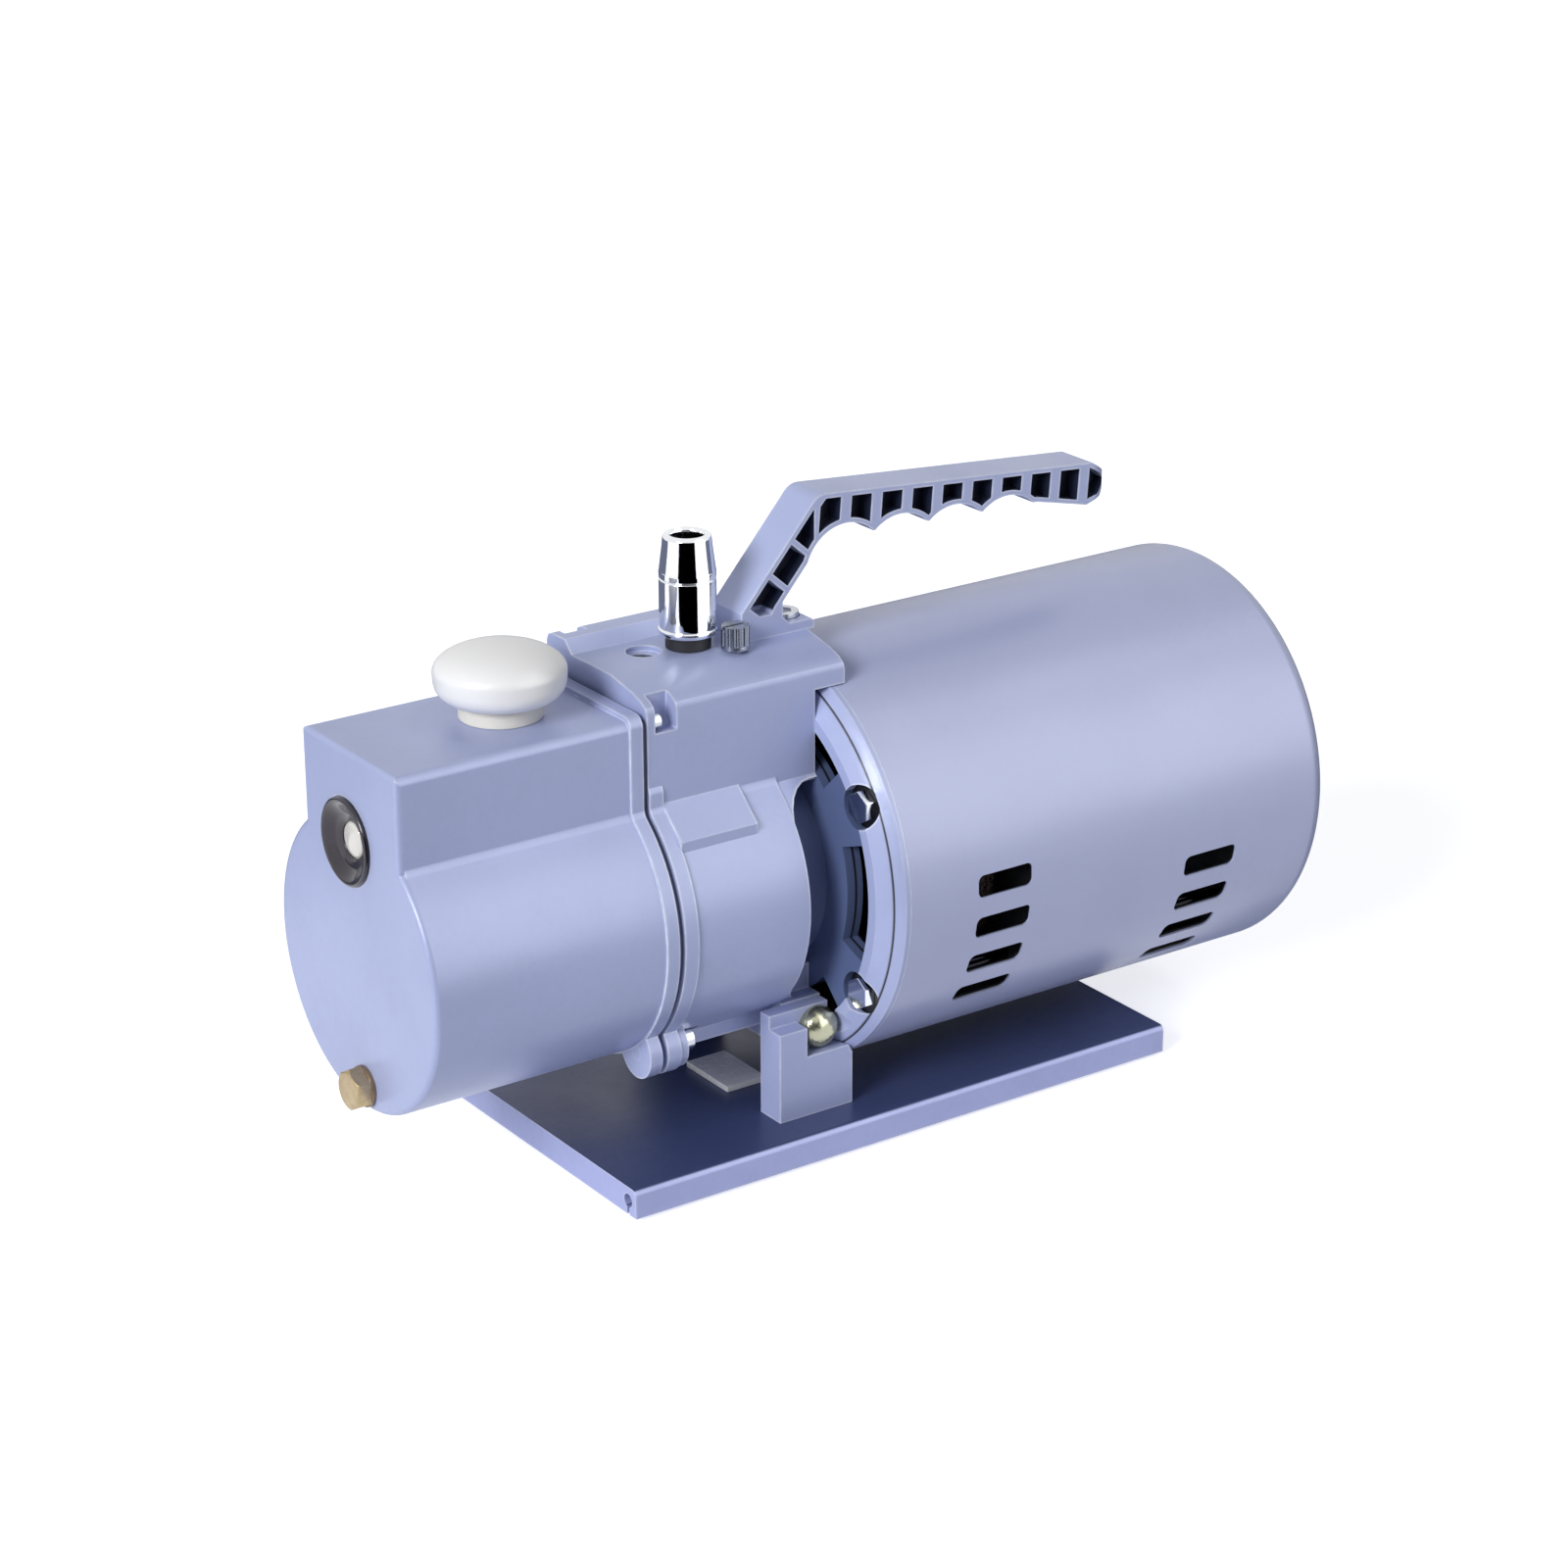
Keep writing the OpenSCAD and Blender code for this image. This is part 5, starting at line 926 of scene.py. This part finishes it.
@dataclass
class Castings:
    """The painted castings, the motor's can and the base, rebuilt with rounded edges.

    Attributes:
        shop: Workshop that makes the pieces.
        edge: Width of the two large castings' roundings, in millimetres.
    """

    shop: Workshop
    edge: float = 0.7

    def build(self) -> None:
        """Rebuilds each casting."""
        recast = self.shop.recast
        recast("oil_case", "oil_case_casting", "silver_paint", self.edge)
        recast("pump_housing", "pump_housing_casting", "housing_paint", self.edge)
        recast("handle", "handle_casting", "handle_paint", edge=0.5)
        recast("front_shield", "front_shield_casting", "shield_paint", edge=0.6)
        recast("foot_blocks", "foot_block_castings", "silver_paint", edge=0.6)
        recast("base_plate", "base_plate_extrusion", "plate_aluminium", edge=0.5)
        recast("motor_cover", "motor_cover_can", "can_paint", edge=0.3)
        # The base strip gets a painted pool of light from its near-white finish.
        recast("base_strip", "base_strip_plate", "bright_aluminium", edge=0.3)
        recast("case_gasket", "case_gasket_ring", "gasket_grey", edge=0.2)
        self._stem_web()

    def _stem_web(self) -> None:
        """Closes the stem's middle web and rear flange where the bolt's bore runs into them."""
        foot = at(135.7, 0.0, 84.9)
        # Each plate's length along the stem, width and thickness, then its middle from the foot
        web = (14.0, 2.4, 7.6), (22.0, 0.0, -5.5)
        flange = (8.0, 6.6, 1.3), (18.6, 0.0, -10.2)
        shape = bmesh.new()
        for size, middle in (web, flange):
            plate = bmesh.ops.create_cube(shape, size=1.0)["verts"]
            bmesh.ops.scale(shape, vec=Vector(size) * MM, verts=plate)
            bmesh.ops.translate(shape, vec=Vector(middle) * MM, verts=plate)
        lean = Matrix.Rotation(-math.radians(STEM_ANGLE), 3, "Y")
        bmesh.ops.rotate(shape, cent=(0.0, 0.0, 0.0), matrix=lean, verts=shape.verts)
        bmesh.ops.translate(shape, vec=foot, verts=shape.verts)
        self.shop.place("handle_stem_web", shape, "handle_paint", Body.FRAME, "silver_paint")


@dataclass
class Exhaust:
    """The white cap on the oil case.

    Attributes:
        shop: Workshop that makes the pieces.
        place: Place of the cap along the shaft, in millimetres.
        bottom: Height of the cap's lower rim above the shaft.
        radius: Outer radius.
        height: Height of the cap.
        wall: Thickness of the dome.
        socket: Radius of the socket's hole.
        teeth: Number of teeth at the socket's lower end.
    """

    shop: Workshop
    place: float = 53.0
    bottom: float = 73.0
    radius: float = 20.5
    height: float = 17.0
    wall: float = 2.2
    socket: float = 9.4
    teeth: int = 6

    def build(self) -> None:
        """Makes the cap with its socket."""
        centre = at(self.place, 0.0, self.bottom)
        r, top = self.radius, self.height
        widest, ledge = 8.6, 7.4
        dome = [(r * math.cos(a), widest + (top - widest) * math.sin(a))
                for a in (math.radians(6 * i) for i in range(16))]
        hollow = top - self.wall - ledge
        inner = [((r - self.wall) * math.cos(a), ledge + hollow * math.sin(a))
                 for a in (math.radians(90 - 9 * i) for i in range(11))]
        lip = [(2.2, 5.6), (3.8, 2.6), (5.4, 1.5), (5.6, 0.4), (5.0, 0.0), (3.6, 0.5), (1.9, 1.8),
               (0.7, 3.4), (0.15, 5.4)]
        shape = turned_ring(dome + inner + [(r - inset, up) for inset, up in lip], UP, centre)
        outer, low, high = self.socket + 1.6, 5.2, 14.6
        turned_ring([(self.socket, low), (outer, low), (outer, high), (self.socket, high)],
                    UP, centre, 72, shape)
        for k in range(self.teeth):
            self._tooth(shape, centre, math.radians(k * 360 / self.teeth + 4), outer)
        item = self.shop.place("exhaust_cap_dome", shape, "white_plastic", Body.CAP,
                               "white_plastic", ["exhaust_cap"])
        self.shop.soften(item, 0.3)

    def _tooth(self, shape: bmesh.types.BMesh, centre: Vector, start: float,
               outer: float) -> None:
        """Adds one tooth between two slots of the socket's lower end.

        Args:
            shape: Mesh that gets the tooth.
            centre: Centre of the cap's rim.
            start: Angle of the tooth's first side, in radians.
            outer: Outer radius of the socket, in millimetres.
        """
        low, high, width = 0.4, 5.3, math.radians(52)
        outwards = Vector((math.cos(start), math.sin(start), 0.0))
        rim = [shape.verts.new(centre + (outwards * r + UP * h) * MM)
               for r, h in ((self.socket, low), (outer, low), (outer, high), (self.socket, high))]
        edges = [shape.edges.new(pair) for pair in zip(rim, rim[1:] + rim[:1])]
        made = bmesh.ops.spin(
            shape, geom=rim + edges, cent=centre, axis=UP, angle=width, steps=8)
        last = [g for g in made["geom_last"] if isinstance(g, bmesh.types.BMEdge)]
        bmesh.ops.holes_fill(shape, edges=edges + last, sides=4)
        bmesh.ops.recalc_face_normals(shape, faces=shape.faces)


@dataclass
class SightGlass:
    """The bezel and the lens of the oil level glass.

    Attributes:
        shop: Workshop that makes the pieces.
        across: Sideways place of its centre, in millimetres.
        height: Height of its centre above the shaft.
        radius: Outer radius of the bezel.
        seat: Radius of the lens's seat.
        bore: Radius of the hole behind the lens.
        shank: Radius of the part that sits in the oil case.
    """

    shop: Workshop
    across: float = 2.5
    height: float = 37.5
    radius: float = 14.0
    seat: float = 10.38
    bore: float = 8.9
    shank: float = 11.45

    def build(self) -> None:
        """Makes the bezel and the lens."""
        centre = at(0.0, self.across, self.height)
        r = self.radius
        rim = [(r, 1.45), *arc((r - 0.9, -0.6), 0.9, 0.0, -90.0)]
        funnel = [(1.5, -1.45), (2.6, -0.9), (4.2, 0.3), (5.2, 0.85), (5.6, 1.0), (7.0, 1.35),
                  (8.2, 1.9), (8.2, 2.3)]
        back = [(self.seat, 2.31), (self.seat, 5.15), (self.bore, 5.15), (self.bore, 9.0),
                (self.shank, 9.0), (self.shank, 1.5)]
        bezel = rim + [(r - inset, depth) for inset, depth in funnel] + back
        ring = self.shop.place("sight_glass_ring", turned_ring(bezel, ALONG, centre), "dark_bezel",
                               Body.FRAME, "black_plastic", ["sight_glass_bezel"])
        self.shop.soften(ring, 0.15)
        edge = [(10.3, 3.95), (10.3, 2.6), (10.0, 2.4), (5.7, 2.4)]
        dome = [(5.5 * math.cos(a), 2.2 - 1.1 * math.sin(a))
                for a in (math.radians(15 * i) for i in range(7))]
        lens = turned_ring(edge + dome + [(0.0, 3.95)], ALONG, centre)
        glass = self.shop.place("sight_glass_window", lens, "opal_glass", Body.FRAME,
                                "clear_glass", ["sight_glass_lens"])
        smooth_faces(glass)


@dataclass
class Inlet:
    """The chromed hose nipple.

    Attributes:
        shop: Workshop that makes the pieces.
        place: Place of the nipple along the shaft, in millimetres.
        pad: Height of the housing's pad above the shaft.
        barrel: Radius of the barrel.
        shank: Radius of the part below the collar.
        bore: Radius of the bore.
    """

    shop: Workshop
    place: float = 121.0
    pad: float = 75.4
    barrel: float = 9.0
    shank: float = 6.2
    bore: float = 5.0

    def build(self) -> None:
        """Turns the nipple."""
        centre = at(self.place, 0.0, self.pad)
        b = self.barrel
        shank = [(self.bore, -10.0), (self.shank, -10.0), (self.shank, -0.05), (self.shank, 4.55)]
        collar = [*arc((b - 0.5, 5.1), 0.6, -90.0, -8.0, 3), (b + 0.4, 5.6),
                  *arc((b, 6.2), 0.4, 0.0, 90.0, 3), (b - 0.15, 6.9), (b, 7.6), (b + 0.02, 12.0)]
        groove = [(b, 21.6), *arc((b - 0.35, 22.2), 0.35, 20.0, 60.0, 2), (b - 0.5, 22.75),
                  *arc((b - 0.35, 23.3), 0.35, -60.0, -20.0, 2), (b, 24.4)]
        taper = [*arc((b - 1.6, 24.6), 1.6, 0.0, 22.0, 3), (7.9, 33.0)]
        mouth = [*arc((6.2, 35.3), 1.5, 10.0, 90.0, 5), (5.9, 36.8), (5.35, 36.3), (self.bore, 35.4)]
        shape = turned_ring(shank + collar + groove + taper + mouth, UP, centre, 128)
        nipple = self.shop.place("inlet_nipple_chrome", shape, "chrome", Body.FRAME, "chrome",
                                 ["inlet_nipple"])
        self.shop.soften(nipple, 0.1)


@dataclass
class Springs:
    """The coil springs between the two vanes.

    Attributes:
        shop: Workshop that makes the pieces.
        places: Places of the springs along the shaft, in millimetres.
        radius: Radius of the coil's middle line.
        wire: Radius of the wire.
        length: Length of a spring.
        turns: Number of turns.
        turn_steps: Number of steps of one turn.
        sides: Number of sides of the wire.
    """

    shop: Workshop
    places: tuple[float, float] = (47.5, 64.5)
    radius: float = 1.45
    wire: float = 0.33
    length: float = 28.7
    turns: int = 13
    turn_steps: int = 16
    sides: int = 8

    def build(self) -> None:
        """Winds both springs."""
        shape = bmesh.new()
        for place in self.places:
            start = at(place, -self.length / 2, 0.0)
            ring = bmesh.ops.create_circle(
                shape, cap_ends=False, segments=self.sides, radius=self.wire * MM)["verts"]
            bmesh.ops.translate(shape, verts=ring, vec=start + ALONG * (self.radius * MM))
            edges = list({edge for vert in ring for edge in vert.link_edges})
            steps = self.turns * self.turn_steps
            end = bmesh.ops.spin(
                shape, geom=ring + edges, cent=start, axis=ACROSS, angle=FULL_TURN * self.turns,
                steps=steps, dvec=ACROSS * (self.length * MM / steps))["geom_last"]
            last = [g for g in end if isinstance(g, bmesh.types.BMEdge)]
            bmesh.ops.holes_fill(shape, edges=edges + last, sides=self.sides)
        bmesh.ops.recalc_face_normals(shape, faces=shape.faces)
        coils = self.shop.place("vane_spring_coils", shape, "ground_steel", Body.WORKS,
                                "ground_steel", ["vane_springs"])
        smooth_faces(coils)


@dataclass
class SmallPieces:
    """Screws, plugs and other small pieces, rebuilt with rounded edges.

    Attributes:
        shop: Workshop that makes the pieces.
    """

    shop: Workshop

    def build(self) -> None:
        """Rebuilds each small piece."""
        recast = self.shop.recast
        recast("tie_bolts", "tie_bolt_set", "bolt_chrome", edge=0.3)
        recast("foot_bolts", "foot_bolt_pair", "olive_zinc", edge=0.3)
        recast("foot_block_screws", "foot_block_screw_set", "zinc_steel", edge=0.2)
        recast("case_screws", "case_screw_set", "zinc_steel", edge=0.2)
        recast("cover_screws", "cover_screw_pair", "zinc_steel", edge=0.3)
        recast("handle_bolt", "handle_bolt_head", "zinc_steel", edge=0.2)
        recast("drain_plug", "drain_plug_hexagon", "brass", edge=0.4)
        recast("drain_washer", "drain_washer_ring", "brass_shadow", edge=0.2)
        recast("ballast_knob", "ballast_knob_turned", "dull_chrome", edge=0.2, body=Body.BALLAST)
        recast("channel_plug", "channel_plug_socket", "black_steel", edge=0.2)
        recast("cable_gland", "cable_gland_nut", "black_plastic", edge=0.3)
        recast("switch_body", "switch_frame", "black_plastic", edge=0.3)
        recast("switch_rocker", "switch_rocker_key", "red_plastic", edge=0.2, body=Body.ROCKER)
        recast("exhaust_port", "exhaust_port_collar", "ivory_plastic", edge=0.5)
        recast("base_feet", "base_foot_pads", "black_rubber", edge=0.4)
        recast("nipple_seal", "nipple_seal_ring", "black_rubber", edge=0.3)


DRESSES: dict[str, str] = {"windings": "winding_varnish"}


def dress_rest(shop: Workshop) -> None:
    """Gives every frame node that still shows its slot's finish."""
    for name, item in frame["nodes"].items():
        if not item.hide_render:
            shop.dress_node(name, DRESSES.get(name, shop.slots[name]))


def main() -> None:
    """Builds the studio and the pump, piece by piece."""
    logging.basicConfig(level=logging.INFO, format="%(message)s")
    shop = Workshop()
    Studio().build()
    for group in (Castings, Exhaust, SightGlass, Inlet, Springs, SmallPieces):
        group(shop).build()
    dress_rest(shop)


if __name__ == "__main__":
    main()
